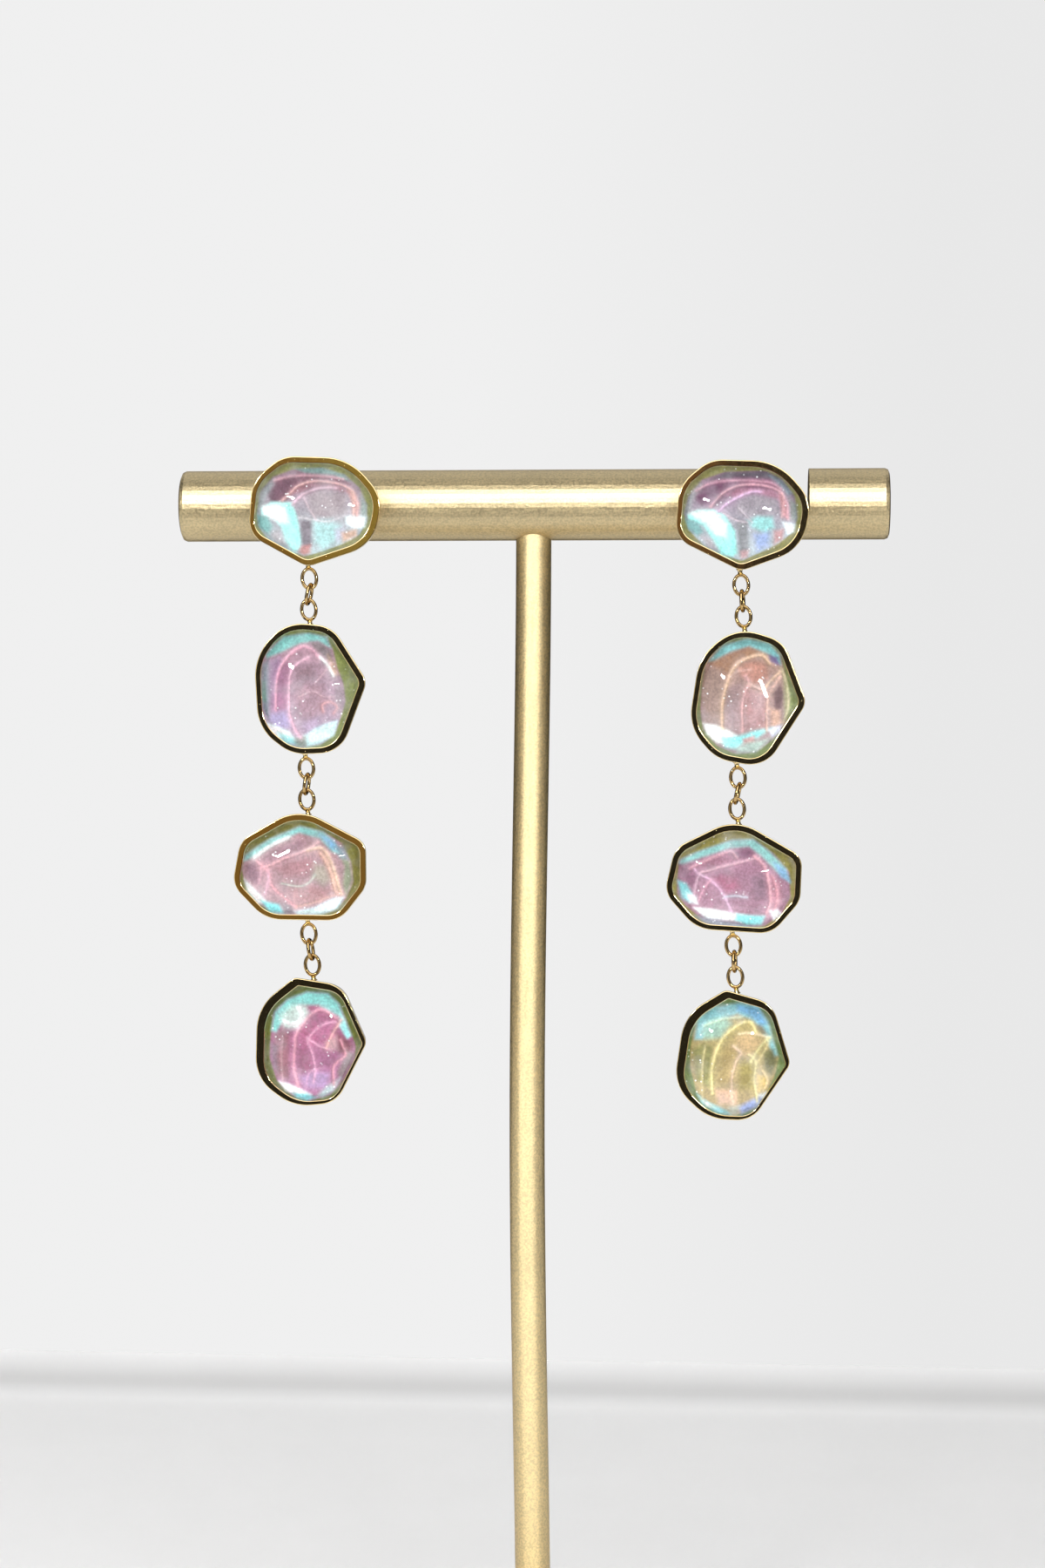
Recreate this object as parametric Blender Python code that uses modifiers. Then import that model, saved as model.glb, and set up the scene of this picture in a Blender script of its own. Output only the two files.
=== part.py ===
"""Pair of linear drop earrings hanging on a T-bar display stand.

Metres, +Z up. The stand's base rests on Z = 0 with its centre at the origin, the bar runs along X and
the stones face -Y. Each earring is four bezel-set stones joined by short three-link chains. The first
and last link of a chain are soldered to the bezels, and the middle link hangs in both.
"""

import math

import bmesh
import bpy
from mathutils import Matrix, Vector

MM = 0.001

# Stand
BAR_LENGTH = 80.0 * MM
BAR_DIAMETER = 8.0 * MM
BAR_EDGE_RADIUS = 0.5 * MM
BAR_AXIS_HEIGHT = 141.0 * MM
NOTCH_WIDTH = 10.0 * MM
NOTCH_DEPTH = 5.0 * MM
LEFT_NOTCH_FROM_END = 14.8 * MM
RIGHT_NOTCH_FROM_END = 14.0 * MM
POST_DIAMETER = 4.0 * MM
POST_BOW = 0.75 * MM
POST_SOCKET_IN_BAR = 3.0 * MM
BASE_DIAMETER = 70.0 * MM
BASE_THICKNESS = 5.0 * MM
BASE_EDGE_RADIUS = 1.2 * MM
BASE_FLOOR = 1.5 * MM
SOCKET_CLEARANCE = 0.12 * MM

# Bezels, from the top stone down
FIRST_WIDTH = 14.6 * MM
FIRST_HEIGHT = 12.1 * MM
SECOND_WIDTH = 12.3 * MM
SECOND_HEIGHT = 14.6 * MM
THIRD_WIDTH = 14.9 * MM
THIRD_HEIGHT = 12.0 * MM
FOURTH_WIDTH = 12.4 * MM
FOURTH_HEIGHT = 14.3 * MM
BEZEL_DEPTH = 3.6 * MM
BEZEL_RIM_WIDTH = 0.65 * MM
BEZEL_RIM_ROUNDING = 0.18 * MM
BEZEL_DRAFT = 0.35 * MM
BEZEL_BACK_ROUNDING = 0.3 * MM
BEZEL_BAR_GAP = 0.25 * MM
POCKET_OVERCUT = 0.4 * MM

# Stones
STONE_CLEARANCE = 0.1 * MM
GIRDLE_HEIGHT = 0.7 * MM
CROWN_BREAK_INSET = 0.75 * MM
CROWN_BREAK_HEIGHT = 0.8 * MM
TABLE_INSET = 2.3 * MM
TABLE_HEIGHT = 1.4 * MM
PAVILION_BREAK_INSET = 1.1 * MM
PAVILION_BREAK_DEPTH = 1.9 * MM
CULET_INSET = 2.8 * MM
CULET_DEPTH = 2.7 * MM

# Chains
LINK_LENGTH = 2.62 * MM
LINK_WIDTH = 2.0 * MM
LINK_WIRE = 0.4 * MM
LINK_GAP = 0.07 * MM
LINK_LEAN = math.radians(5.0)
MIDDLE_LINK_TWIST = math.radians(80.0)
LINK_DEPTH = 2.3 * MM
LEFT_NECK = 0.32 * MM
RIGHT_NECK = 0.37 * MM
NECK_DIAMETER = 0.55 * MM
NECK_SINK = 0.35 * MM

# Ear pins and nuts, hidden behind the top stones
PIN_DIAMETER = 0.8 * MM
PIN_FLOOR_GAP = 0.05 * MM
LEFT_PIN_FROM_NOTCH_CENTRE = 1.23 * MM
RIGHT_PIN_FROM_NOTCH_CENTRE = -2.5 * MM
LEFT_PIN_RISE = 0.5 * MM
RIGHT_PIN_RISE = 1.09 * MM
PIN_TIP = 1.0 * MM
NUT_DIAMETER = 5.0 * MM
NUT_THICKNESS = 1.4 * MM
NUT_GAP = 0.1 * MM

# Mesh fineness
CORNER_STEPS = 3
LINK_STEPS = 14
LINK_WIRE_RESOLUTION = 1
BAR_SIDES = 48
BASE_SIDES = 64
POST_STEPS = 24
POST_RESOLUTION = 4
NECK_SIDES = 8
PIN_SIDES = 12
NUT_SIDES = 24

# Outlines of the four stations, seen from the front. A corner is its x as a share of half the width, its
# z as a share of half the height, and its rounding as a share of half the width. The stone's shift moves
# the pocket across the bezel, as shares of the rim width.
STATIONS = (
    {
        "width": FIRST_WIDTH,
        "height": FIRST_HEIGHT,
        "corners": (
            (-0.96, 0.55, 0.60),
            (-1.02, -0.43, 0.38),
            (-0.02, -1.03, 0.28),
            (0.90, -0.63, 0.64),
            (1.04, 0.26, 0.56),
            (0.53, 0.97, 0.87),
            (-0.49, 1.01, 0.54),
        ),
        "stone_shift": (-0.15, 0.0),
    },
    {
        "width": SECOND_WIDTH,
        "height": SECOND_HEIGHT,
        "corners": (
            (-0.96, 0.55, 0.98),
            (-1.02, -0.52, 0.81),
            (-0.46, -0.97, 0.74),
            (0.43, -1.02, 0.57),
            (1.08, 0.02, 0.60),
            (0.52, 0.91, 0.57),
            (-0.35, 1.06, 0.79),
        ),
        "stone_shift": (-0.1, 0.0),
    },
    {
        "width": THIRD_WIDTH,
        "height": THIRD_HEIGHT,
        "corners": (
            (-1.03, -0.30, 0.35),
            (-0.54, -0.96, 0.57),
            (0.58, -1.01, 0.47),
            (0.99, -0.39, 0.55),
            (1.00, 0.43, 0.36),
            (0.00, 1.11, 0.69),
            (-0.89, 0.53, 0.39),
        ),
        "stone_shift": (0.0, -0.1),
    },
    {
        "width": FOURTH_WIDTH,
        "height": FOURTH_HEIGHT,
        "corners": (
            (-0.92, 0.58, 0.88),
            (-1.03, -0.54, 0.74),
            (-0.37, -1.01, 0.85),
            (0.41, -0.99, 0.50),
            (1.06, -0.07, 0.50),
            (0.64, 0.85, 0.51),
            (-0.21, 1.01, 0.18),
        ),
        "stone_shift": (0.35, -0.3),
    },
)

# How each earring hangs: its notch's centre, its pin's place from there, and how far above the top
# stone's centre the pin is soldered. Each station has its centre's x from the pin, its turn in its own plane,
# and the x of its upper and lower chain from its centre.
EARRINGS = {
    "left": {
        "notch_x": LEFT_NOTCH_FROM_END - BAR_LENGTH / 2,
        "pin_from_notch": LEFT_PIN_FROM_NOTCH_CENTRE,
        "pin_rise": LEFT_PIN_RISE,
        "neck": LEFT_NECK,
        "stations": (
            {"x": 0.0, "turn": 0.0, "upper_chain": 0.0, "lower_chain": -0.9 * MM},
            {"x": -0.54 * MM, "turn": math.radians(6.0), "upper_chain": -0.14 * MM, "lower_chain": -0.72 * MM},
            {"x": -1.71 * MM, "turn": math.radians(1.4), "upper_chain": 0.77 * MM, "lower_chain": 0.69 * MM},
            {"x": -0.64 * MM, "turn": math.radians(3.5), "upper_chain": 0.3 * MM, "lower_chain": 0.0},
        ),
    },
    "right": {
        "notch_x": BAR_LENGTH / 2 - RIGHT_NOTCH_FROM_END,
        "pin_from_notch": RIGHT_PIN_FROM_NOTCH_CENTRE,
        "pin_rise": RIGHT_PIN_RISE,
        "neck": RIGHT_NECK,
        "stations": (
            {"x": 0.0, "turn": 0.0, "upper_chain": 0.0, "lower_chain": -0.27 * MM},
            {"x": 0.7 * MM, "turn": math.radians(-6.0), "upper_chain": -0.42 * MM, "lower_chain": -1.3 * MM},
            {"x": -0.87 * MM, "turn": math.radians(-1.4), "upper_chain": 0.48 * MM, "lower_chain": -0.19 * MM},
            {"x": -0.93 * MM, "turn": math.radians(-3.5), "upper_chain": 0.38 * MM, "lower_chain": 0.0},
        ),
    },
}

STAND_GOLD = ((0.78, 0.66, 0.42), 1.0, 0.34)
POLISHED_GOLD = ((0.88, 0.67, 0.30), 1.0, 0.08)
STONE_COLOURS = {
    "left": ((0.75, 0.58, 0.66), (0.78, 0.50, 0.60), (0.80, 0.55, 0.55), (0.72, 0.38, 0.50)),
    "right": ((0.68, 0.46, 0.60), (0.78, 0.58, 0.52), (0.70, 0.45, 0.55), (0.74, 0.68, 0.42)),
}
STONE_ROUGHNESS = 0.05
STONE_ALPHA = 0.85
SMOOTH_ANGLE = math.radians(35.0)

BAR_RADIUS = BAR_DIAMETER / 2
BAR_AXIS = Vector((0.0, 0.0, BAR_AXIS_HEIGHT))
NOTCH_FLOOR = BAR_AXIS_HEIGHT + BAR_RADIUS - NOTCH_DEPTH
PIN_AXIS_HEIGHT = NOTCH_FLOOR + PIN_FLOOR_GAP + PIN_DIAMETER / 2
BEZEL_BACK = -(BAR_RADIUS + BEZEL_BAR_GAP)
BEZEL_FRONT = BEZEL_BACK - BEZEL_DEPTH
LINK_PLANE = BEZEL_BACK - LINK_DEPTH
NUT_FRONT = BAR_RADIUS + NUT_GAP
LINK_LONG_RADIUS = (LINK_LENGTH - LINK_WIRE) / 2
LINK_SHORT_RADIUS = (LINK_WIDTH - LINK_WIRE) / 2


# Scene helpers

def clear_scene():
    for item in list(bpy.data.objects):
        bpy.data.objects.remove(item, do_unlink=True)


def new_collection(name):
    collection = bpy.data.collections.new(name)
    bpy.context.scene.collection.children.link(collection)
    return collection


clear_scene()
PARTS = new_collection("drop_earrings_on_stand")
CUTTERS = new_collection("cutters")


def new_material(name, colour, metallic, roughness, alpha=1.0):
    material = bpy.data.materials.new(name)
    material.use_nodes = True
    shader = material.node_tree.nodes["Principled BSDF"]
    shader.inputs["Base Color"].default_value = (*colour, 1.0)
    shader.inputs["Metallic"].default_value = metallic
    shader.inputs["Roughness"].default_value = roughness
    shader.inputs["Alpha"].default_value = alpha
    return material


def add_part(name, mesh, material):
    item = bpy.data.objects.new(name, mesh)
    mesh.materials.clear()
    mesh.materials.append(material)
    mesh.shade_smooth()
    mesh.set_sharp_from_angle(angle=SMOOTH_ANGLE)
    PARTS.objects.link(item)
    return item


def add_guide(name, mesh):
    item = bpy.data.objects.new(name, mesh)
    item.hide_render = True
    item.display_type = "WIRE"
    CUTTERS.objects.link(item)
    return item


def boolean(item, guide, operation):
    modifier = item.modifiers.new(guide.name, "BOOLEAN")
    modifier.operation = operation
    modifier.solver = "EXACT"
    modifier.object = guide


# Shapes

def cylinder_mesh(name, diameter, length, sides, axis, centre):
    """A cylinder of the given length along an axis, about its centre."""
    turn = Vector((0.0, 0.0, 1.0)).rotation_difference(Vector(axis)).to_matrix().to_4x4()
    body = bmesh.new()
    bmesh.ops.create_cone(
        body, cap_ends=True, segments=sides, radius1=diameter / 2, radius2=diameter / 2, depth=length,
        matrix=Matrix.Translation(centre) @ turn,
    )
    mesh = bpy.data.meshes.new(name)
    body.to_mesh(mesh)
    body.free()
    return mesh


def box_mesh(name, size, centre):
    body = bmesh.new()
    bmesh.ops.create_cube(body, size=1.0, matrix=Matrix.Translation(centre) @ Matrix.Diagonal((*size, 1.0)))
    mesh = bpy.data.meshes.new(name)
    body.to_mesh(mesh)
    body.free()
    return mesh


def loft_mesh(name, sections):
    """A closed body through sections that have the same number of points, capped at both ends."""
    body = bmesh.new()
    rings = [[body.verts.new(point) for point in section] for section in sections]
    body.faces.new(rings[0])
    body.faces.new(rings[-1])
    for lower, upper in zip(rings, rings[1:]):
        for index in range(len(lower)):
            following = (index + 1) % len(lower)
            body.faces.new((lower[index], lower[following], upper[following], upper[index]))
    bmesh.ops.recalc_face_normals(body, faces=body.faces)
    mesh = bpy.data.meshes.new(name)
    body.to_mesh(mesh)
    body.free()
    return mesh


def station_corners(station):
    """The corners in metres as (x, z) vectors, with their roundings."""
    half_width = station["width"] / 2
    half_height = station["height"] / 2
    corners = [Vector((x * half_width, z * half_height)) for x, z, rounding in station["corners"]]
    roundings = [rounding * half_width for x, z, rounding in station["corners"]]
    return corners, roundings


def inward(start, end):
    """The unit vector that points into the outline from one of its sides, which run counter-clockwise."""
    side = (end - start).normalized()
    return Vector((-side.y, side.x))


def inset_corners(corners, roundings, inset):
    """Each side moves in by the inset, and the roundings shrink with it."""
    moved = []
    count = len(corners)
    for index, corner in enumerate(corners):
        before = inward(corners[index - 1], corner)
        after = inward(corner, corners[(index + 1) % count])
        moved.append(corner + (before + after) * inset / (1.0 + before.dot(after)))
    return moved, [max(rounding - inset, rounding * 0.1) for rounding in roundings]


def rounded_outline(corners, roundings):
    """Points round the outline, with an arc at each corner."""
    points = []
    count = len(corners)
    for index, corner in enumerate(corners):
        back = corners[index - 1] - corner
        ahead = corners[(index + 1) % count] - corner
        half_angle = back.angle(ahead) / 2
        reach = min(roundings[index] / math.tan(half_angle), back.length / 2.05, ahead.length / 2.05)
        radius = reach * math.tan(half_angle)
        start = corner + back.normalized() * reach
        end = corner + ahead.normalized() * reach
        middle = (back.normalized() + ahead.normalized()).normalized()
        centre = corner + middle * radius / math.sin(half_angle)
        sweep = (start - centre).angle_signed(end - centre)
        for step in range(CORNER_STEPS + 1):
            turn = Matrix.Rotation(-sweep * step / CORNER_STEPS, 2)
            points.append(centre + turn @ (start - centre))
    return points


def station_outline(station, inset, shift=(0.0, 0.0)):
    corners, roundings = inset_corners(*station_corners(station), inset)
    return [point + Vector(shift) for point in rounded_outline(corners, roundings)]


def section(outline, y):
    """An outline seen from the front, set at a depth."""
    return [Vector((point.x, y, point.y)) for point in outline]


def pocket_shift(station):
    across, up = station["stone_shift"]
    return (across * BEZEL_RIM_WIDTH, up * BEZEL_RIM_WIDTH)


def link_mesh(name, placing):
    """A closed oval wire link, placed by a matrix that takes its long axis from Z."""
    curve = bpy.data.curves.new(name, "CURVE")
    curve.dimensions = "3D"
    curve.bevel_depth = LINK_WIRE / 2
    curve.bevel_resolution = LINK_WIRE_RESOLUTION
    spline = curve.splines.new("POLY")
    spline.points.add(LINK_STEPS - 1)
    for index, point in enumerate(spline.points):
        angle = math.tau * (index + 0.5) / LINK_STEPS
        point.co = (LINK_SHORT_RADIUS * math.sin(angle), 0.0, LINK_LONG_RADIUS * math.cos(angle), 1.0)
    spline.use_cyclic_u = True
    return curve_to_mesh(name, curve, placing)


def curve_to_mesh(name, curve, placing):
    """The curve's tube as a welded mesh."""
    holder = bpy.data.objects.new(name, curve)
    CUTTERS.objects.link(holder)
    holder.matrix_world = placing
    bpy.context.view_layer.update()
    evaluated = holder.evaluated_get(bpy.context.evaluated_depsgraph_get())
    mesh = bpy.data.meshes.new_from_object(evaluated)
    mesh.transform(placing)
    mesh.name = name
    body = bmesh.new()
    body.from_mesh(mesh)
    bmesh.ops.remove_doubles(body, verts=body.verts, dist=0.001 * MM)
    bmesh.ops.recalc_face_normals(body, faces=body.faces)
    body.to_mesh(mesh)
    body.free()
    bpy.data.objects.remove(holder, do_unlink=True)
    bpy.data.curves.remove(curve)
    return mesh


# Stand

def post_centre(share):
    """The post's centre line, bowed a little to the left between the base and the bar."""
    bottom = BASE_FLOOR + SOCKET_CLEARANCE
    top = BAR_AXIS_HEIGHT - BAR_RADIUS + POST_SOCKET_IN_BAR - SOCKET_CLEARANCE
    return Vector((-POST_BOW * math.sin(math.pi * share) ** 2, 0.0, bottom + (top - bottom) * share))


def build_post(material):
    curve = bpy.data.curves.new("stand_post", "CURVE")
    curve.dimensions = "3D"
    curve.bevel_depth = POST_DIAMETER / 2
    curve.bevel_resolution = POST_RESOLUTION
    curve.use_fill_caps = True
    spline = curve.splines.new("POLY")
    spline.points.add(POST_STEPS)
    for index, point in enumerate(spline.points):
        point.co = (*post_centre(index / POST_STEPS), 1.0)
    add_part("stand_post", curve_to_mesh("stand_post", curve, Matrix.Identity(4)), material)


def build_base(material):
    """A turned disc with a rounded top edge and a socket for the post."""
    radius = BASE_DIAMETER / 2
    profile = [(0.0, BASE_THICKNESS)]
    rounding_steps = 4
    for step in range(rounding_steps + 1):
        angle = math.pi / 2 * (1.0 - step / rounding_steps)
        x = radius - BASE_EDGE_RADIUS + BASE_EDGE_RADIUS * math.cos(angle)
        z = BASE_THICKNESS - BASE_EDGE_RADIUS + BASE_EDGE_RADIUS * math.sin(angle)
        profile.append((x, z))
    profile.append((radius, 0.0))
    profile.append((0.0, 0.0))
    mesh = bpy.data.meshes.new("stand_base")
    edges = [(index, index + 1) for index in range(len(profile) - 1)]
    mesh.from_pydata([(x, 0.0, z) for x, z in profile], edges, [])
    base = add_part("stand_base", mesh, material)
    screw = base.modifiers.new("turn", "SCREW")
    screw.steps = BASE_SIDES
    screw.render_steps = BASE_SIDES
    screw.use_merge_vertices = True
    screw.merge_threshold = 0.01 * MM
    socket_depth = BASE_THICKNESS - BASE_FLOOR
    overcut = BASE_FLOOR
    socket = cylinder_mesh(
        "base_socket", POST_DIAMETER + 2 * SOCKET_CLEARANCE, socket_depth + overcut, BAR_SIDES, (0, 0, 1),
        (0.0, 0.0, BASE_FLOOR + (socket_depth + overcut) / 2),
    )
    boolean(base, add_guide("base_socket", socket), "DIFFERENCE")


def build_bar(material):
    """A round bar with softened ends, two notches for the ear pins and a socket for the post."""
    mesh = cylinder_mesh("stand_bar", BAR_DIAMETER, BAR_LENGTH, BAR_SIDES, (1, 0, 0), BAR_AXIS)
    bar = add_part("stand_bar", mesh, material)
    bevel = bar.modifiers.new("ends", "BEVEL")
    bevel.width = BAR_EDGE_RADIUS
    bevel.segments = 2
    bevel.limit_method = "ANGLE"
    bevel.angle_limit = math.radians(60.0)
    for side, earring in EARRINGS.items():
        height = 2 * NOTCH_DEPTH
        size = (NOTCH_WIDTH, 2 * BAR_DIAMETER, height)
        notch = box_mesh(f"notch_{side}", size, (earring["notch_x"], 0.0, NOTCH_FLOOR + height / 2))
        boolean(bar, add_guide(f"notch_{side}", notch), "DIFFERENCE")
    length = 2 * POST_SOCKET_IN_BAR
    centre = (0.0, 0.0, BAR_AXIS_HEIGHT - BAR_RADIUS)
    bore = cylinder_mesh("bar_socket", POST_DIAMETER + 2 * SOCKET_CLEARANCE, length, BAR_SIDES, (0, 0, 1), centre)
    boolean(bar, add_guide("bar_socket", bore), "DIFFERENCE")


# Stations

def pin_place(earring):
    return earring["notch_x"] + earring["pin_from_notch"]


def edge_height(station, turn, x, upper):
    """How far above or below its centre a turned station's edge lies at an x from its centre."""
    outline = [Matrix.Rotation(turn, 2) @ point for point in station_outline(station, 0.0)]
    heights = []
    for first, second in zip(outline, outline[1:] + outline[:1]):
        if (first.x - x) * (second.x - x) <= 0.0 and first.x != second.x:
            share = (x - first.x) / (second.x - first.x)
            heights.append(first.y + (second.y - first.y) * share)
    return max(heights) if upper else min(heights)


def chain_steps(neck, drift):
    """How far down the next station's upper edge lies, and how the middle link runs between its neighbours.

    The drift is how far to the side the next station's chain lies from this one's.
    """
    run = neck + LINK_LENGTH - LINK_WIRE / 2
    inner = LINK_LENGTH - 3 * LINK_WIRE - 2 * LINK_GAP
    sideways = drift - 2 * run * math.sin(LINK_LEAN)
    downward = math.sqrt(inner ** 2 - sideways ** 2)
    return 2 * run * math.cos(LINK_LEAN) + downward, Vector((sideways, 0.0, -downward))


def place_stations(earring):
    """Each station's centre, with the ends of its chains on its edge."""
    places = []
    z = PIN_AXIS_HEIGHT - earring["pin_rise"]
    for index, (station, hang) in enumerate(zip(STATIONS, earring["stations"])):
        x = pin_place(earring) + hang["x"]
        upper_x = x + hang["upper_chain"]
        upper_reach = edge_height(station, hang["turn"], hang["upper_chain"], True)
        if index:
            lower_end = places[-1]["lower_end"]
            drop, middle = chain_steps(earring["neck"], upper_x - lower_end.x)
            z = lower_end.z - drop - upper_reach
            places[-1]["middle"] = middle
        lower_reach = edge_height(station, hang["turn"], hang["lower_chain"], False)
        places.append({
            "centre": Vector((x, BEZEL_BACK, z)),
            "turn": hang["turn"],
            "upper_end": Vector((upper_x, LINK_PLANE, z + upper_reach)),
            "lower_end": Vector((x + hang["lower_chain"], LINK_PLANE, z + lower_reach)),
        })
    return places


def chain_direction():
    """The way a soldered link leans, from its upper end to its lower end."""
    return Vector((math.sin(LINK_LEAN), 0.0, -math.cos(LINK_LEAN)))


def solder_link(bezel, name, end, direction, neck):
    """A link and its short neck, made one solid with the bezel at a point on its edge."""
    lean = Vector((0.0, 0.0, 1.0)).rotation_difference(direction).to_matrix().to_4x4()
    centre = end + direction * (neck + LINK_LENGTH / 2)
    link = add_guide(f"{name}_link", link_mesh(f"{name}_link", Matrix.Translation(centre) @ lean))
    boolean(bezel, link, "UNION")
    start = end - direction * NECK_SINK
    finish = end + direction * (neck + LINK_WIRE / 2)
    length = (finish - start).length
    stub = cylinder_mesh(f"{name}_neck", NECK_DIAMETER, length, NECK_SIDES, direction, (start + finish) / 2)
    boolean(bezel, add_guide(f"{name}_neck", stub), "UNION")


def build_bezel(name, station, place, material):
    """A cup with a rounded rim and back, cut out for its stone."""
    back = BEZEL_DRAFT + BEZEL_BACK_ROUNDING
    mesh = loft_mesh(name, [
        section(station_outline(station, back), 0.0),
        section(station_outline(station, BEZEL_DRAFT), -BEZEL_BACK_ROUNDING),
        section(station_outline(station, 0.0), -BEZEL_DEPTH + BEZEL_RIM_ROUNDING),
        section(station_outline(station, BEZEL_RIM_ROUNDING), -BEZEL_DEPTH),
    ])
    placing = Matrix.Translation(place["centre"]) @ Matrix.Rotation(-place["turn"], 4, "Y")
    bezel = add_part(name, mesh, material)
    bezel.matrix_world = placing
    shift = pocket_shift(station)
    pocket = add_guide(f"{name}_pocket", loft_mesh(f"{name}_pocket", [
        section(station_outline(station, BEZEL_RIM_WIDTH, shift), -BEZEL_DEPTH - POCKET_OVERCUT),
        section(station_outline(station, BEZEL_RIM_WIDTH, shift), -BEZEL_DEPTH + GIRDLE_HEIGHT),
        section(
            station_outline(station, BEZEL_RIM_WIDTH + PAVILION_BREAK_INSET, shift),
            -BEZEL_DEPTH + PAVILION_BREAK_DEPTH + STONE_CLEARANCE,
        ),
        section(
            station_outline(station, BEZEL_RIM_WIDTH + CULET_INSET, shift),
            -BEZEL_DEPTH + CULET_DEPTH + STONE_CLEARANCE,
        ),
    ]))
    pocket.matrix_world = placing
    boolean(bezel, pocket, "DIFFERENCE")
    return bezel


def build_stone(name, station, place, material):
    """A cut stone: a table and two crown steps above the rim, and two pavilion steps in the pocket."""
    shift = pocket_shift(station)
    girdle = BEZEL_RIM_WIDTH + STONE_CLEARANCE
    steps = (
        (CULET_INSET, CULET_DEPTH),
        (PAVILION_BREAK_INSET, PAVILION_BREAK_DEPTH),
        (0.0, GIRDLE_HEIGHT),
        (0.0, 0.0),
        (CROWN_BREAK_INSET, -CROWN_BREAK_HEIGHT),
        (TABLE_INSET, -TABLE_HEIGHT),
    )
    mesh = loft_mesh(name, [
        section(station_outline(station, girdle + inset, shift), -BEZEL_DEPTH + depth) for inset, depth in steps
    ])
    stone = add_part(name, mesh, material)
    stone.matrix_world = Matrix.Translation(place["centre"]) @ Matrix.Rotation(-place["turn"], 4, "Y")


def build_pin(bezel, side, x):
    """The ear pin, soldered to the back of the top bezel and lying in the bar's notch."""
    start = BEZEL_BACK - PIN_DIAMETER / 2
    end = NUT_FRONT + NUT_THICKNESS + PIN_TIP
    centre = (x, (start + end) / 2, PIN_AXIS_HEIGHT)
    pin = cylinder_mesh(f"pin_{side}", PIN_DIAMETER, end - start, PIN_SIDES, (0, 1, 0), centre)
    boolean(bezel, add_guide(f"pin_{side}", pin), "UNION")


def build_nut(side, x, material):
    """A plain friction nut behind the bar."""
    centre = (x, NUT_FRONT + NUT_THICKNESS / 2, PIN_AXIS_HEIGHT)
    name = f"ear_nut_{side}"
    nut = add_part(name, cylinder_mesh(name, NUT_DIAMETER, NUT_THICKNESS, NUT_SIDES, (0, 1, 0), centre), material)
    bore_diameter = PIN_DIAMETER + 2 * NUT_GAP
    bore = cylinder_mesh(f"{name}_bore", bore_diameter, 2 * NUT_THICKNESS, PIN_SIDES, (0, 1, 0), centre)
    boolean(nut, add_guide(f"{name}_bore", bore), "DIFFERENCE")


def build_middle_link(name, lower_end, middle, neck, material):
    """The loose link that hangs in the two soldered ones."""
    run = neck + LINK_LENGTH - LINK_WIRE / 2
    centre = lower_end + chain_direction() * run + middle / 2
    lean = Vector((0.0, 0.0, -1.0)).rotation_difference(middle).to_matrix().to_4x4()
    placing = Matrix.Translation(centre) @ lean @ Matrix.Rotation(MIDDLE_LINK_TWIST, 4, "Z")
    add_part(name, link_mesh(name, placing), material)


def build_earring(side, earring, gold):
    places = place_stations(earring)
    last = len(places) - 1
    for index, (station, place) in enumerate(zip(STATIONS, places)):
        number = index + 1
        bezel = build_bezel(f"bezel_{side}_{number}", station, place, gold)
        if index:
            solder_link(bezel, f"upper_{side}_{number}", place["upper_end"], -chain_direction(), earring["neck"])
        else:
            build_pin(bezel, side, pin_place(earring))
        if index < last:
            lower_end = place["lower_end"]
            solder_link(bezel, f"lower_{side}_{number}", lower_end, chain_direction(), earring["neck"])
            build_middle_link(f"chain_link_{side}_{number}", lower_end, place["middle"], earring["neck"], gold)
        colour = STONE_COLOURS[side][index]
        glass = new_material(f"glass_{side}_{number}", colour, 0.0, STONE_ROUGHNESS, STONE_ALPHA)
        build_stone(f"stone_{side}_{number}", station, place, glass)
    build_nut(side, pin_place(earring), gold)


def main():
    stand_gold = new_material("stand_gold", *STAND_GOLD)
    polished_gold = new_material("polished_gold", *POLISHED_GOLD)
    build_base(stand_gold)
    build_post(stand_gold)
    build_bar(stand_gold)
    for side, earring in EARRINGS.items():
        build_earring(side, earring, polished_gold)


main()
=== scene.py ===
"""Scene of a pair of linear drop earrings hanging on a T-bar display stand.

Each station is a polished gold bezel with a domed clear stone over an iridescent foil. The foil is a
sheet with raised ridges, and its colours are laid on its mesh from short lists of areas and lines. Among
them are painted highlights and a painted reflection of the bezel's gold wall.
"""

import math

import bmesh
import bpy
import numpy
from mathutils import Matrix, Vector


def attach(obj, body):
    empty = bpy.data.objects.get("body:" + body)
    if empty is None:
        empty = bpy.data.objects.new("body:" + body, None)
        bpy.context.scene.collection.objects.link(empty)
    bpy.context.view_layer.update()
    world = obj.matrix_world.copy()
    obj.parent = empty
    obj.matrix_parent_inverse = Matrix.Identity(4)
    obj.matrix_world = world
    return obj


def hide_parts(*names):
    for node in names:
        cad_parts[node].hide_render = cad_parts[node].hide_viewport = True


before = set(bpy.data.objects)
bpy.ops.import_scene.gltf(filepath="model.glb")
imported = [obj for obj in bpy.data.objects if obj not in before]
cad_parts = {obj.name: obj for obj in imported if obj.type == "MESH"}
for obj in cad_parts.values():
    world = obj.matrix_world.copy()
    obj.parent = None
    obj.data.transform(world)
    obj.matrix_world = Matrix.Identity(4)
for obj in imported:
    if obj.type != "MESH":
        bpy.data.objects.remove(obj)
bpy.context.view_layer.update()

MM = 0.001

# Camera, as the photograph was taken
PHOTO_WIDTH = 1200
PHOTO_HEIGHT = 1800
FOCAL_PIXELS = 3500.0
SENSOR = 36.0
CLIP_START = 0.01
CAMERA_PLACE = Vector((0.0194, -0.3453, 0.1179))
CAMERA_YAW = math.radians(3.427)
CAMERA_PITCH = math.radians(-1.404)

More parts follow.
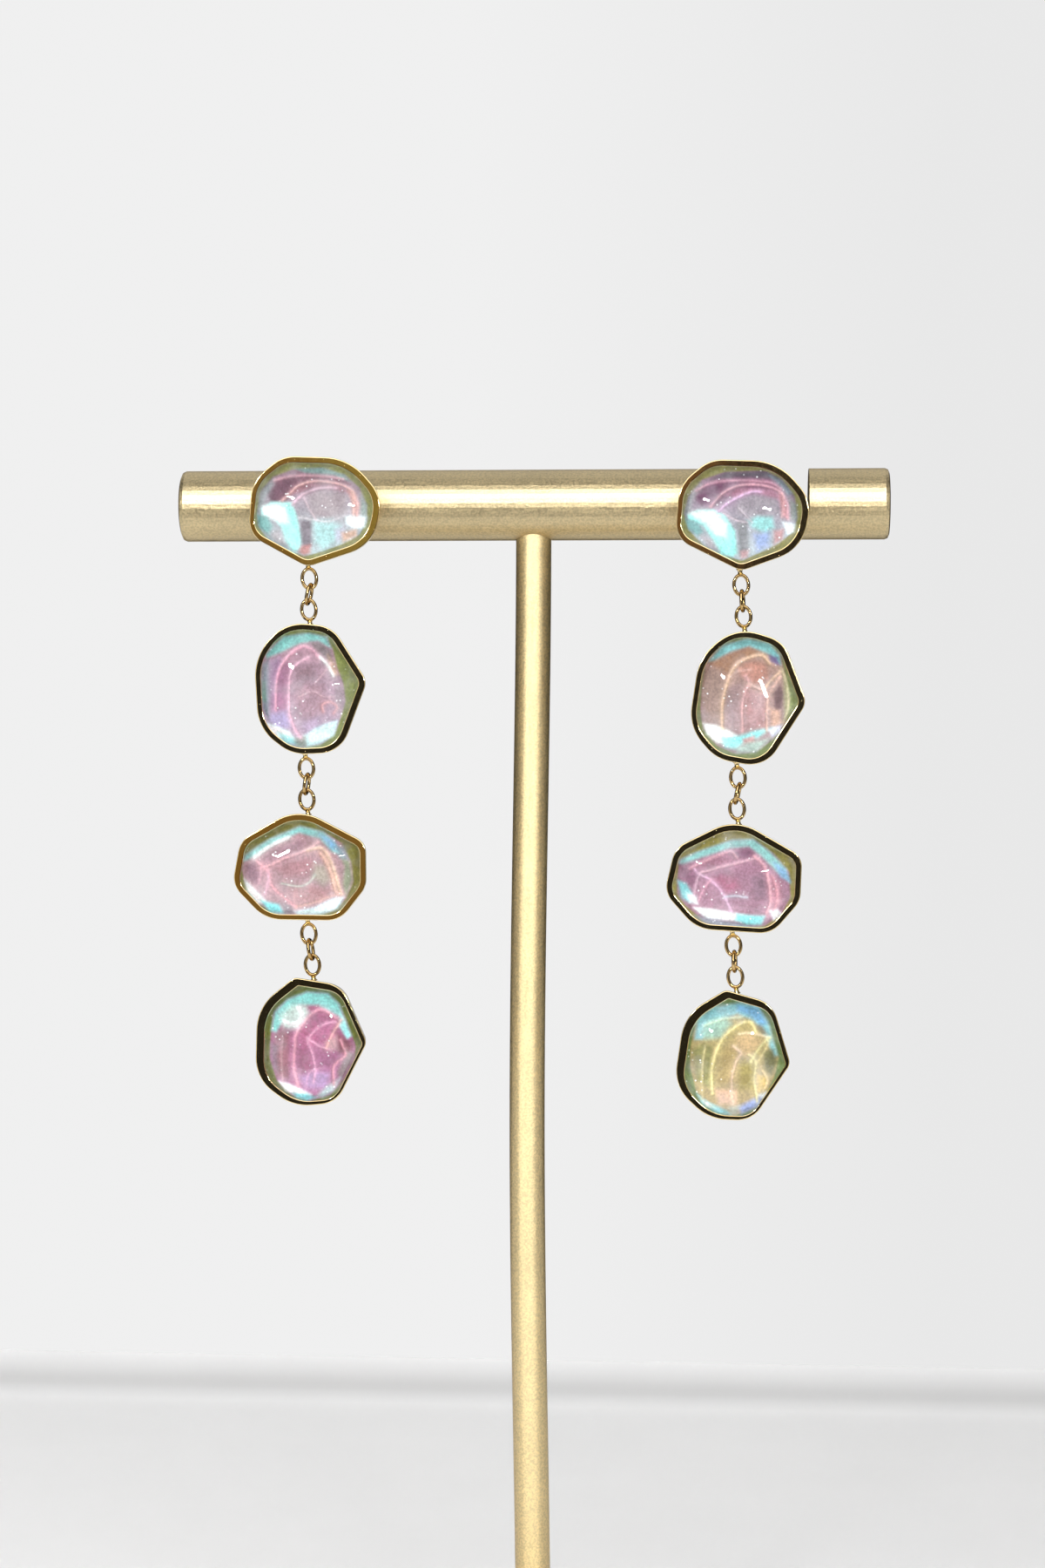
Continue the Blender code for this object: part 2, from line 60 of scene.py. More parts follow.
# Stand, bezels and chains, in the part's sizes
BAR_LENGTH = 80.0 * MM
BAR_DIAMETER = 8.0 * MM
BAR_AXIS_HEIGHT = 141.0 * MM
NOTCH_DEPTH = 5.0 * MM
BEZEL_BAR_GAP = 0.25 * MM
LINK_LENGTH = 2.62 * MM
LINK_WIDTH = 2.0 * MM
LINK_WIRE = 0.4 * MM
LINK_GAP = 0.07 * MM
LINK_LEAN = math.radians(5.0)
MIDDLE_LINK_TWIST = math.radians(80.0)
LINK_DEPTH = 2.3 * MM
NECK_DIAMETER = 0.55 * MM
PIN_DIAMETER = 0.8 * MM
PIN_FLOOR_GAP = 0.05 * MM
PIN_TIP = 1.0 * MM
NUT_THICKNESS = 1.4 * MM
NUT_GAP = 0.1 * MM
POST_DIAMETER = 4.0 * MM
POST_BOW = 0.75 * MM
POST_BOTTOM = 1.62 * MM
POST_TOP = 139.88 * MM

BAR_RADIUS = BAR_DIAMETER / 2
BEZEL_BACK = -(BAR_RADIUS + BEZEL_BAR_GAP)
LINK_PLANE = BEZEL_BACK - LINK_DEPTH
NUT_FRONT = BAR_RADIUS + NUT_GAP
PIN_AXIS_HEIGHT = BAR_AXIS_HEIGHT + BAR_RADIUS - NOTCH_DEPTH + PIN_FLOOR_GAP + PIN_DIAMETER / 2

# Mesh fineness
CORNER_STEPS = 9
SIDE_STEPS = 3
FOIL_RINGS = 46
FOIL_TURN_STEPS = 200
DOME_RINGS = 20
LINK_STEPS = 44
LINK_SIDES = 14
PIN_SIDES = 24
POST_STEPS = 60
POST_SIDES = 64
BACKDROP_BEND_STEPS = 4
CURVE_STEPS = 6

# The stations from the top, as in the part, but with crisper side corners on the last three. A corner is
# (x, z, rounding), in shares of half the width, half the height and half the width.
STATIONS = (
    {
        "width": 14.6 * MM,
        "height": 12.1 * MM,
        "corners": (
            (-0.96, 0.55, 0.60),
            (-1.02, -0.43, 0.38),
            (-0.02, -1.03, 0.28),
            (0.90, -0.63, 0.64),
            (1.04, 0.26, 0.56),
            (0.53, 0.97, 0.87),
            (-0.49, 1.01, 0.54),
        ),
        "stone_shift": (-0.1 * MM, 0.0),
    },
    {
        "width": 12.3 * MM,
        "height": 14.6 * MM,
        "corners": (
            (-0.96, 0.55, 0.98),
            (-1.02, -0.52, 0.81),
            (-0.46, -0.97, 0.74),
            (0.43, -1.02, 0.57),
            (1.045, 0.02, 0.30),
            (0.52, 0.91, 0.57),
            (-0.35, 1.06, 0.79),
        ),
        "stone_shift": (-0.07 * MM, 0.0),
    },
    {
        "width": 14.9 * MM,
        "height": 12.0 * MM,
        "corners": (
            (-1.03, -0.30, 0.35),
            (-0.54, -0.96, 0.57),
            (0.58, -1.01, 0.40),
            (0.99, -0.39, 0.36),
            (1.00, 0.43, 0.26),
            (0.00, 1.11, 0.69),
            (-0.89, 0.53, 0.39),
        ),
        "stone_shift": (0.0, -0.07 * MM),
    },
    {
        "width": 12.4 * MM,
        "height": 14.3 * MM,
        "corners": (
            (-0.92, 0.58, 0.88),
            (-1.03, -0.54, 0.74),
            (-0.37, -1.01, 0.85),
            (0.41, -0.99, 0.50),
            (1.03, -0.07, 0.22),
            (0.64, 0.85, 0.51),
            (-0.21, 1.01, 0.18),
        ),
        "stone_shift": (0.23 * MM, -0.2 * MM),
    },
)

# The left earring's first rim has its lower tip further to its left.
LEFT_TIP = (-0.115, -1.03, 0.28)

# How each earring hangs. A station has its shift from the pin, its turn in degrees, and the places across
# it where its upper and lower chains meet it.
EARRINGS = {
    "left": {
        "pin_x": 14.8 * MM - BAR_LENGTH / 2 + 1.23 * MM,
        "pin_rise": 0.5 * MM,
        "neck": 0.32 * MM,
        "stations": (
            {"x": 0.0, "turn": 0.0, "upper_chain": 0.0, "lower_chain": -0.9 * MM},
            {"x": -0.54 * MM, "turn": 6.0, "upper_chain": -0.14 * MM, "lower_chain": -0.72 * MM},
            {"x": -1.71 * MM, "turn": 1.4, "upper_chain": 0.77 * MM, "lower_chain": 0.69 * MM},
            {"x": -0.64 * MM, "turn": 3.5, "upper_chain": 0.3 * MM, "lower_chain": 0.0},
        ),
    },
    "right": {
        "pin_x": BAR_LENGTH / 2 - 14.0 * MM - 2.5 * MM,
        "pin_rise": 1.09 * MM,
        "neck": 0.37 * MM,
        "stations": (
            {"x": 0.0, "turn": 0.0, "upper_chain": 0.0, "lower_chain": -0.27 * MM},
            {"x": 0.7 * MM, "turn": -6.0, "upper_chain": -0.42 * MM, "lower_chain": -1.3 * MM},
            {"x": -0.87 * MM, "turn": -1.4, "upper_chain": 0.48 * MM, "lower_chain": -0.19 * MM},
            {"x": -0.93 * MM, "turn": -3.5, "upper_chain": 0.38 * MM, "lower_chain": 0.0},
        ),
    },
}

# A corner's rounding takes up at most its side's length divided by the first of these, and an inset leaves
# it at least the second, as a share.
CORNER_ROOM = 2.05
LEAST_ROUNDING = 0.1

# Bezel section, as (inset from the outline, height above the back). Close pairs keep the rim's face flat.
RIM_WIDTH = 0.68 * MM
OUTER_SECTION = (
    (0.75 * MM, 0.0),
    (0.50 * MM, 0.05 * MM),
    (0.38 * MM, 0.18 * MM),
    (0.32 * MM, 0.40 * MM),
    (0.10 * MM, 2.60 * MM),
    (0.00, 3.20 * MM),
    (0.00, 3.46 * MM),
    (0.01 * MM, 3.53 * MM),
    (0.04 * MM, 3.58 * MM),
    (0.09 * MM, 3.60 * MM),
    (0.12 * MM, 3.60 * MM),
)
INNER_SECTION = (
    (RIM_WIDTH - 0.09 * MM, 3.60 * MM),
    (RIM_WIDTH - 0.06 * MM, 3.60 * MM),
    (RIM_WIDTH - 0.02 * MM, 3.585 * MM),
    (RIM_WIDTH, 3.54 * MM),
    (RIM_WIDTH, 3.48 * MM),
    (RIM_WIDTH, 2.90 * MM),
    (0.95 * MM, 2.10 * MM),
    (2.80 * MM, 1.40 * MM),
)

# Widths of a solder neck and of the ear pin, as (share of the length, share of the radius)
NECK_SECTION = ((-0.35, 1.5), (-0.05, 1.45), (0.08, 1.12), (0.5, 0.92), (0.9, 1.0), (1.35, 1.25), (1.7, 0.8))
PIN_SECTION = ((0.0, 1.0), (0.5, 1.0), (0.975, 1.0), (0.99, 0.8), (1.0, 0.45))

# Stones and their foils, with heights above the bezel's back
GLASS_GAP = 0.01 * MM
GLASS_EDGE = 3.50 * MM
DOME_RISE = 1.35 * MM
DOME_POWER = 0.72
DOME_CROWN_SHARE = 0.02
FOIL_EDGE = 3.05 * MM
FOIL_FUNNEL = 0.55 * MM
FOIL_FUNNEL_SHARE = 0.14
FOIL_DISH = 0.45 * MM
FOIL_THICKNESS = 0.3 * MM
BACK_SHARES = (1.0, 0.97, 0.94, 0.91, 0.88, 0.84, 0.5, 0.05)
RIDGE_RISE = 0.12 * MM
LENS_GAIN = 1.07
FIELD_SOFTNESS = 1.2
AREA_SOFTENING = 1.5
LINE_STRENGTH = 0.7
LINE_PALENESS = 0.25
GLOW_WIDTH = 3.2
GLOW_STRENGTH = 0.22
FOIL_TINT = (0.88, 0.95, 0.93)
LUMINANCE = (0.2126, 0.7152, 0.0722)
FOIL_CONTRAST = 0.4
FAR = 1e9
TINY = 1e-9

# Polished metals, as (darker colour, lighter colour)
EARRING_GOLD = ((0.88, 0.67, 0.32), (0.96, 0.78, 0.43))
# The chain's gold is a darker copy of the earring gold, painted shade for the dark sides of its links.
SHADED_CHAIN_GOLD = ((0.50, 0.33, 0.13), (0.66, 0.46, 0.21))

# Satin metals of the stand, as (colour, tint at its edges, least roughness, most roughness)
BASE_GOLD = ((0.84, 0.68, 0.36), (0.8, 0.7, 0.5), 0.52, 0.62)
BAR_GOLD = ((0.73, 0.59, 0.33), (0.7, 0.6, 0.4), 0.37, 0.49)
POST_GOLD = ((0.97, 0.77, 0.40), (0.35, 0.25, 0.12), 0.40, 0.52)
SATIN_SHADE = 0.9
BUMP_DISTANCE = 0.05 * MM

# Backdrop, in metres: its floor, the low lip behind it, and its turn about the stand
BACKDROP_HALF_WIDTH = 1.5
BACKDROP_FRONT = -0.2
BACKDROP_BEND_START = 0.16
BACKDROP_BEND_RADIUS = 0.07
BACKDROP_LIP_ANGLE = math.radians(20.0)
BACKDROP_TURN = math.radians(-1.6)

# Greys of the floor from front to back and from left to right, and of the paper behind it, as (place, grey).
# They are painted shade: a dark band where the floor turns up, and floor and paper darker towards the right.
# A place on a ramp is the distance or direction times the scale, and half a ramp more where it runs sideways.
FLOOR_DEPTH_SCALE = 2.0
FLOOR_DEPTH_SHADE_GREYS = ((0.333, 0.75), (0.349, 0.54), (0.354, 0.54), (0.374, 0.69))
FLOOR_ACROSS_SCALE = 4.0
FLOOR_ACROSS_SHADE_GREYS = ((0.4, 1.0), (0.85, 0.93))
PAPER_ACROSS_SCALE = 2.0
PAPER_ACROSS_SHADE_GREYS = ((0.35, 0.87), (0.65, 0.81))
RAMP_MIDDLE = 0.5
ROOM_COLOUR = (1.0, 0.94, 0.86)
ROOM_STRENGTH = 0.02

# Lights stand round this place, at these distances.
LIGHT_TARGET = Vector((0.0, 0.0, 0.105))
SOFTBOX_DISTANCE = 0.9
CARD_HEIGHT = 0.5
FILL_SIZE = 1.2
LAMP_DISTANCE = 1.0
LAMP_RADIUS = 0.025
LAMP_POWER = 2.2


# Materials

def linear(colour):
    """A colour of 0 to 255 as the renderer's linear values."""
    return tuple(((c / 255.0 + 0.055) / 1.055) ** 2.4 if c > 10 else c / 255.0 / 12.92 for c in colour)


def new_material(name):
    material = bpy.data.materials.new(name)
    material.use_nodes = True
    return material, material.node_tree, material.node_tree.nodes["Principled BSDF"]


def add_node(tree, kind, **values):
    node = tree.nodes.new(kind)
    for key, value in values.items():
        setattr(node, key, value)
    return node


def noise(tree, place, scale, detail):
    node = add_node(tree, "ShaderNodeTexNoise")
    node.inputs["Scale"].default_value = scale
    node.inputs["Detail"].default_value = detail
    tree.links.new(place, node.inputs["Vector"])
    return node.outputs["Fac"]


def ramp(tree, source, *stops):
    node = add_node(tree, "ShaderNodeValToRGB")
    elements = node.color_ramp.elements
    while len(elements) < len(stops):
        elements.new(0.5)
    for element, (place, colour) in zip(elements, stops):
        element.position = place
        element.color = (*colour, 1.0)
    tree.links.new(source, node.inputs["Fac"])
    return node.outputs["Color"]


def grey_ramp(tree, source, *stops):
    return ramp(tree, source, *((place, (value, value, value)) for place, value in stops))


def bump(tree, source, strength):
    node = add_node(tree, "ShaderNodeBump")
    node.inputs["Strength"].default_value = strength
    node.inputs["Distance"].default_value = BUMP_DISTANCE
    tree.links.new(source, node.inputs["Height"])
    return node.outputs["Normal"]


def calculate(tree, operation, *operands):
    """A sum or product of other nodes' outputs and plain numbers."""
    node = add_node(tree, "ShaderNodeMath", operation=operation)
    for socket, operand in zip(node.inputs, operands):
        if isinstance(operand, float):
            socket.default_value = operand
        else:
            tree.links.new(operand, socket)
    return node.outputs[0]


def multiply(tree, first, second):
    """One colour times another."""
    node = add_node(tree, "ShaderNodeMix", data_type="RGBA", blend_type="MULTIPLY")
    node.inputs[0].default_value = 1.0
    tree.links.new(first, node.inputs[6])
    tree.links.new(second, node.inputs[7])
    return node.outputs[2]


def blend(tree, amount, first, colour):
    """A colour drawn towards a fixed one."""
    node = add_node(tree, "ShaderNodeMix", data_type="RGBA")
    node.inputs[7].default_value = (*colour, 1.0)
    tree.links.new(amount, node.inputs[0])
    tree.links.new(first, node.inputs[6])
    return node.outputs[2]


def polished_gold(name, deep, pale):
    """Bright plated metal with faint handling marks."""
    material, tree, shader = new_material(name)
    place = add_node(tree, "ShaderNodeTexCoord").outputs["Object"]
    broad = noise(tree, place, scale=260.0, detail=3.0)
    fine = noise(tree, place, scale=2600.0, detail=4.0)
    rough = grey_ramp(tree, fine, (0.35, 0.06), (0.75, 0.13))
    tree.links.new(ramp(tree, broad, (0.3, deep), (0.7, pale)), shader.inputs["Base Color"])
    tree.links.new(rough, shader.inputs["Roughness"])
    tree.links.new(bump(tree, broad, strength=0.25), shader.inputs["Normal"])
    shader.inputs["Metallic"].default_value = 1.0
    return material


def stand_gold(name, warm, edge, rough_low, rough_high):
    """Satin plating with a fine pebbled skin, under a coat that keeps its highlights pale."""
    material, tree, shader = new_material(name)
    place = add_node(tree, "ShaderNodeTexCoord").outputs["Object"]
    pebble = noise(tree, place, scale=4200.0, detail=2.0)
    grain = grey_ramp(tree, pebble, (0.36, 0.74), (0.62, 1.0))
    broad = noise(tree, place, scale=120.0, detail=3.0)
    deep = tuple(c * SATIN_SHADE for c in warm)
    colour = ramp(tree, broad, (0.3, deep), (0.7, warm))
    rough = grey_ramp(tree, pebble, (0.3, rough_low), (0.7, rough_high))
    tree.links.new(multiply(tree, colour, grain), shader.inputs["Base Color"])
    tree.links.new(rough, shader.inputs["Roughness"])
    tree.links.new(bump(tree, pebble, strength=0.7), shader.inputs["Normal"])
    shader.inputs["Specular Tint"].default_value = (*edge, 1.0)
    shader.inputs["Coat Weight"].default_value = 1.0
    shader.inputs["Coat Roughness"].default_value = 0.35
    shader.inputs["Metallic"].default_value = 1.0
    return material


def clear_glass():
    material, tree, shader = new_material("clear_glass")
    shader.inputs["Base Color"].default_value = (1.0, 1.0, 1.0, 1.0)
    shader.inputs["Roughness"].default_value = 0.0
    shader.inputs["IOR"].default_value = 1.5
    shader.inputs["Transmission Weight"].default_value = 1.0
    return material


def iridescent_foil():
    """The foil's laid-on colours with speckle, and fine white flecks of glitter painted as glints."""
    material, tree, shader = new_material("iridescent_foil")
    place = add_node(tree, "ShaderNodeTexCoord").outputs["Object"]
    laid = add_node(tree, "ShaderNodeVertexColor", layer_name="foil").outputs["Color"]
    speckle = noise(tree, place, scale=3600.0, detail=2.0)
    shade = grey_ramp(tree, speckle, (0.35, 0.78), (0.65, 1.06))
    cloud = noise(tree, place, scale=850.0, detail=4.0)
    drift = grey_ramp(tree, cloud, (0.32, 0.82), (0.68, 1.14))
    mottled = multiply(tree, multiply(tree, laid, drift), shade)
    mist = noise(tree, place, scale=420.0, detail=5.0)
    veil = grey_ramp(tree, mist, (0.48, 0.0), (0.72, 0.22))
    misted = blend(tree, veil, mottled, (0.78, 0.76, 0.84))
    # Painted glints: scattered white flecks where the foil's glitter would catch the light.
    cells = add_node(tree, "ShaderNodeTexVoronoi")
    cells.inputs["Scale"].default_value = 1700.0
    tree.links.new(place, cells.inputs["Vector"])
    painted_glint = grey_ramp(tree, cells.outputs["Distance"], (0.11, 1.0), (0.2, 0.0))
    scatter = noise(tree, place, scale=700.0, detail=1.0)
    where = grey_ramp(tree, scatter, (0.5, 0.0), (0.62, 0.85))
    lit = blend(tree, calculate(tree, "MULTIPLY", painted_glint, where), misted, (0.95, 0.98, 1.0))
    tree.links.new(lit, shader.inputs["Base Color"])
    tree.links.new(bump(tree, speckle, strength=0.12), shader.inputs["Normal"])
    shader.inputs["Metallic"].default_value = 0.15
    shader.inputs["Roughness"].default_value = 0.4
    return material


# Outlines

def station_corners(station):
    half_width = station["width"] / 2
    half_height = station["height"] / 2
    corners = [Vector((x * half_width, z * half_height)) for x, z, rounding in station["corners"]]
    return corners, [rounding * half_width for x, z, rounding in station["corners"]]


def inward(start, end):
    """The unit vector into the outline from one of its sides, which run counter-clockwise."""
    side = (end - start).normalized()
    return Vector((-side.y, side.x))


def inset_corners(corners, roundings, inset):
    moved = []
    count = len(corners)
    for index, corner in enumerate(corners):
        before = inward(corners[index - 1], corner)
        after = inward(corner, corners[(index + 1) % count])
        moved.append(corner + (before + after) * inset / (1.0 + before.dot(after)))
    return moved, [max(rounding - inset, rounding * LEAST_ROUNDING) for rounding in roundings]


def rounded_outline(corners, roundings):
    """Points round the outline: an arc at each corner and a few points along each side."""
    arcs = []
    count = len(corners)
    for index, corner in enumerate(corners):
        back = corners[index - 1] - corner
        ahead = corners[(index + 1) % count] - corner
        half_angle = back.angle(ahead) / 2
        room = min(back.length, ahead.length) / CORNER_ROOM
        reach = min(roundings[index] / math.tan(half_angle), room)
        radius = reach * math.tan(half_angle)
        start = corner + back.normalized() * reach
        end = corner + ahead.normalized() * reach
        middle = (back.normalized() + ahead.normalized()).normalized()
        centre = corner + middle * radius / math.sin(half_angle)
        depth_shade = (start - centre).angle_signed(end - centre)
        turns = [Matrix.Rotation(-depth_shade * step / CORNER_STEPS, 2) for step in range(CORNER_STEPS + 1)]
        arcs.append([centre + turn @ (start - centre) for turn in turns])
    points = []
    for index, arc in enumerate(arcs):
        points += arc
        following = arcs[(index + 1) % count][0]
        for step in range(1, SIDE_STEPS):
            points.append(arc[-1].lerp(following, step / SIDE_STEPS))
    return points


def station_outline(station, inset, shift=(0.0, 0.0)):
    corners, roundings = inset_corners(*station_corners(station), inset)
    return [point + Vector(shift) for point in rounded_outline(corners, roundings)]


def even_outline(points, count):
    """The closed outline again, with evenly spaced points."""
    closed = points + points[:1]
    reach = [0.0]
    for first, second in zip(closed, closed[1:]):
        reach.append(reach[-1] + (second - first).length)
    spaced = []
    index = 0
    for step in range(count):
        target = reach[-1] * step / count
        while reach[index + 1] < target:
            index += 1
        share = (target - reach[index]) / max(reach[index + 1] - reach[index], TINY)
        spaced.append(closed[index].lerp(closed[index + 1], share))
    return spaced


# Places

def edge_height(station, turn, x, upper):
    """How high the turned outline's upper or lower edge lies at a place across it."""
    outline = [Matrix.Rotation(turn, 2) @ point for point in station_outline(station, 0.0)]
    heights = []
    for first, second in zip(outline, outline[1:] + outline[:1]):
        if (first.x - x) * (second.x - x) <= 0.0 and first.x != second.x:
            share = (x - first.x) / (second.x - first.x)
            heights.append(first.y + (second.y - first.y) * share)
    return max(heights) if upper else min(heights)


def chain_steps(neck, drift):
    """How far a chain drops in all, and the run of its middle link, when its ends lie apart sideways."""
    run = neck + LINK_LENGTH - LINK_WIRE / 2
    inner = LINK_LENGTH - 3 * LINK_WIRE - 2 * LINK_GAP
    sideways = drift - 2 * run * math.sin(LINK_LEAN)
    downward = math.sqrt(inner ** 2 - sideways ** 2)
    return 2 * run * math.cos(LINK_LEAN) + downward, Vector((sideways, 0.0, -downward))


def place_stations(earring):
    """Each station's placing, with the ends of its chains on its edge."""
    places = []
    z = PIN_AXIS_HEIGHT - earring["pin_rise"]
    for index, (station, hang) in enumerate(zip(STATIONS, earring["stations"])):
        turn = math.radians(hang["turn"])
        x = earring["pin_x"] + hang["x"]
        upper_x = x + hang["upper_chain"]
        upper_reach = edge_height(station, turn, hang["upper_chain"], True)
        if index:
            lower_end = places[-1]["lower_end"]
            drop, middle = chain_steps(earring["neck"], upper_x - lower_end.x)
            z = lower_end.z - drop - upper_reach
            places[-1]["middle"] = middle
        lower_reach = edge_height(station, turn, hang["lower_chain"], False)
        places.append({
            "placing": Matrix.Translation((x, BEZEL_BACK, z)) @ Matrix.Rotation(-turn, 4, "Y"),
            "upper_end": Vector((upper_x, LINK_PLANE, z + upper_reach)),
            "lower_end": Vector((x + hang["lower_chain"], LINK_PLANE, z + lower_reach)),
        })
    return places


def chain_direction():
    return Vector((math.sin(LINK_LEAN), 0.0, -math.cos(LINK_LEAN)))


def photo_place(points):
    """Where points in the frame appear in the photograph, in its pixels."""
    forward = numpy.array((
        -math.sin(CAMERA_YAW) * math.cos(CAMERA_PITCH),
        math.cos(CAMERA_YAW) * math.cos(CAMERA_PITCH),
        math.sin(CAMERA_PITCH),
    ))
    right = numpy.array((math.cos(CAMERA_YAW), math.sin(CAMERA_YAW), 0.0))
    up = numpy.cross(right, forward)
    away = numpy.asarray(points, float) - numpy.array(CAMERA_PLACE)
    depth = away @ forward
    across = PHOTO_WIDTH / 2 + FOCAL_PIXELS * (away @ right) / depth
    down = PHOTO_HEIGHT / 2 - FOCAL_PIXELS * (away @ up) / depth
    return numpy.stack((across, down), axis=1)


# Meshes

def finish_mesh(body, name, material, smooth_angle=35.0):
    bmesh.ops.recalc_face_normals(body, faces=body.faces)
    mesh = bpy.data.meshes.new(name)
    body.to_mesh(mesh)
    body.free()
    mesh.materials.append(material)
    mesh.shade_smooth()
    mesh.set_sharp_from_angle(angle=math.radians(smooth_angle))
    piece = bpy.data.objects.new(name, mesh)
    bpy.context.scene.collection.objects.link(piece)
    return piece


def join_rings(body, lower, upper):
    """Faces between two rings of as many points."""
    for step in range(len(lower)):
        following = (step + 1) % len(lower)
        body.faces.new((lower[step], lower[following], upper[following], upper[step]))


def add_loft(body, rings, placing=Matrix.Identity(4), cyclic=False):
    """A skin over a row of rings, which runs round to the first or is capped at both ends."""
    made = [[body.verts.new(placing @ Vector(point)) for point in ring] for ring in rings]
    for lower, upper in zip(made, made[1:]):
        join_rings(body, lower, upper)
    if cyclic:
        join_rings(body, made[-1], made[0])
    else:
        body.faces.new(made[0])
        body.faces.new(made[-1])


def add_tube(body, centres, radii, sides, placing=Matrix.Identity(4), cyclic=False):
    """A round tube along a line of centres, closed on itself or capped."""
    count = len(centres)
    rings = []
    last_side = None
    for index, centre in enumerate(centres):
        ahead = centres[(index + 1) % count] if cyclic or index < count - 1 else centre
        behind = centres[index - 1] if cyclic or index else centre
        along = (ahead - behind).normalized()
        if last_side is None:
            last_side = along.orthogonal().normalized()
        side = (last_side - along * last_side.dot(along)).normalized()
        last_side = side
        other = along.cross(side)
        ring = []
        for step in range(sides):
            angle = math.tau * step / sides
            ring.append(centre + (side * math.cos(angle) + other * math.sin(angle)) * radii[index])
        rings.append(ring)
    add_loft(body, rings, placing, cyclic)


def add_link(body, placing):
    """An oval wire link with its long axis on Z."""
    long_radius = (LINK_LENGTH - LINK_WIRE) / 2
    short_radius = (LINK_WIDTH - LINK_WIRE) / 2
    angles = [math.tau * step / LINK_STEPS for step in range(LINK_STEPS)]
    centres = [Vector((short_radius * math.sin(a), 0.0, long_radius * math.cos(a))) for a in angles]
    add_tube(body, centres, [LINK_WIRE / 2] * LINK_STEPS, LINK_SIDES, placing, cyclic=True)


def add_rod(body, start, direction, length, radius, section, sides):
    """A straight round rod whose width follows a section."""
    centres = [start + direction * (length * share) for share, width in section]
    add_tube(body, centres, [radius * width for share, width in section], sides)


def add_soldered_link(body, end, direction, neck):
    """A link on its short solder neck, which flares where it meets the bezel and the wire."""
    lean = Vector((0.0, 0.0, 1.0)).rotation_difference(direction).to_matrix().to_4x4()
    centre = end + direction * (neck + LINK_LENGTH / 2)
    first_face = len(body.faces)
    add_link(body, Matrix.Translation(centre) @ lean)
    body.faces.ensure_lookup_table()
    for face in body.faces[first_face:]:
        face.material_index = 1
    add_rod(body, end, direction, neck, NECK_DIAMETER / 2, NECK_SECTION, LINK_SIDES)


def build_bezel(side, number, station, place, earring, gold, chain_gold):
    """A bezel with the links that are soldered to it, or with the ear pin."""
    body = bmesh.new()
    section = [(inset, height, (0.0, 0.0)) for inset, height in OUTER_SECTION]
    section += [(inset, height, station["stone_shift"]) for inset, height in INNER_SECTION]
    rings = []
    for inset, height, shift in section:
        rings.append([(point.x, -height, point.y) for point in station_outline(station, inset, shift)])
    add_loft(body, rings, place["placing"])
    if number > 1:
        add_soldered_link(body, place["upper_end"], -chain_direction(), earring["neck"])
    else:
        start = Vector((earring["pin_x"], BEZEL_BACK - PIN_DIAMETER / 2, PIN_AXIS_HEIGHT))
        reach = NUT_FRONT + NUT_THICKNESS + PIN_TIP - start.y
        add_rod(body, start, Vector((0.0, 1.0, 0.0)), reach, PIN_DIAMETER / 2, PIN_SECTION, PIN_SIDES)
    if number < len(STATIONS):
        add_soldered_link(body, place["lower_end"], chain_direction(), earring["neck"])
    name = f"bezel_{side}_{number}"
    piece = finish_mesh(body, f"{name}_shell", gold)
    # The links take the chain gold, darkened as painted shade.
    piece.data.materials.append(chain_gold)
    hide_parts(name)
    return piece


def build_middle_link(side, number, place, neck, gold):
    run = neck + LINK_LENGTH - LINK_WIRE / 2
    centre = place["lower_end"] + chain_direction() * run + place["middle"] / 2
    lean = Vector((0.0, 0.0, -1.0)).rotation_difference(place["middle"]).to_matrix().to_4x4()
    body = bmesh.new()
    add_link(body, Matrix.Translation(centre) @ lean @ Matrix.Rotation(MIDDLE_LINK_TWIST, 4, "Z"))
    name = f"chain_link_{side}_{number}"
    piece = finish_mesh(body, f"{name}_wire", gold)
    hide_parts(name)
    return piece


# Stones

def smooth(value):
    value = numpy.clip(value, 0.0, 1.0)
    return value * value * (3.0 - 2.0 * value)


def segment_distance(places, first, second):
    """How far each place lies from the nearest point of a segment."""
    first = numpy.array(first, float)
    second = numpy.array(second, float)
    run = second - first
    share = numpy.clip(((places - first) @ run) / max(run @ run, TINY), 0.0, 1.0)
    return numpy.linalg.norm(places - first - share[:, None] * run, axis=1)


def area_cover(places, points, softness):
    """How far each place is covered by a polygon with a soft edge."""
    inside = numpy.zeros(len(places), bool)
    nearest = numpy.full(len(places), FAR)
    for (x0, y0), (x1, y1) in zip(points, points[1:] + points[:1]):
        nearest = numpy.minimum(nearest, segment_distance(places, (x0, y0), (x1, y1)))
        if y0 != y1:
            crosses = (y0 > places[:, 1]) != (y1 > places[:, 1])
            reach = x0 + (places[:, 1] - y0) * (x1 - x0) / (y1 - y0)
            inside ^= crosses & (places[:, 0] < reach)
    signed = numpy.where(inside, nearest, -nearest)
    return smooth(0.5 + signed / (2.0 * softness))


def curve_points(points):
    """Points on a smooth curve through a few given ones."""
    if len(points) == 2:
        return points
    padded = [points[0]] + list(points) + [points[-1]]
    smoothed = []
    for index in range(1, len(padded) - 2):
        p0, p1, p2, p3 = (numpy.array(p, float) for p in padded[index - 1:index + 3])
        for step in range(CURVE_STEPS):
            t = step / CURVE_STEPS
            smoothed.append(tuple(0.5 * (
                2 * p1 + (p2 - p0) * t + (2 * p0 - 5 * p1 + 4 * p2 - p3) * t ** 2
                + (3 * p1 - p0 - 3 * p2 + p3) * t ** 3
            )))
    smoothed.append(points[-1])
    return smoothed


def line_cover(places, points, width):
    """How far each place is covered by a curved line that fades to both sides."""
    nearest = numpy.full(len(places), FAR)
    smoothed = curve_points(points)
    for first, second in zip(smoothed, smoothed[1:]):
        nearest = numpy.minimum(nearest, segment_distance(places, first, second))
    return numpy.exp(-((nearest / width) ** 2))


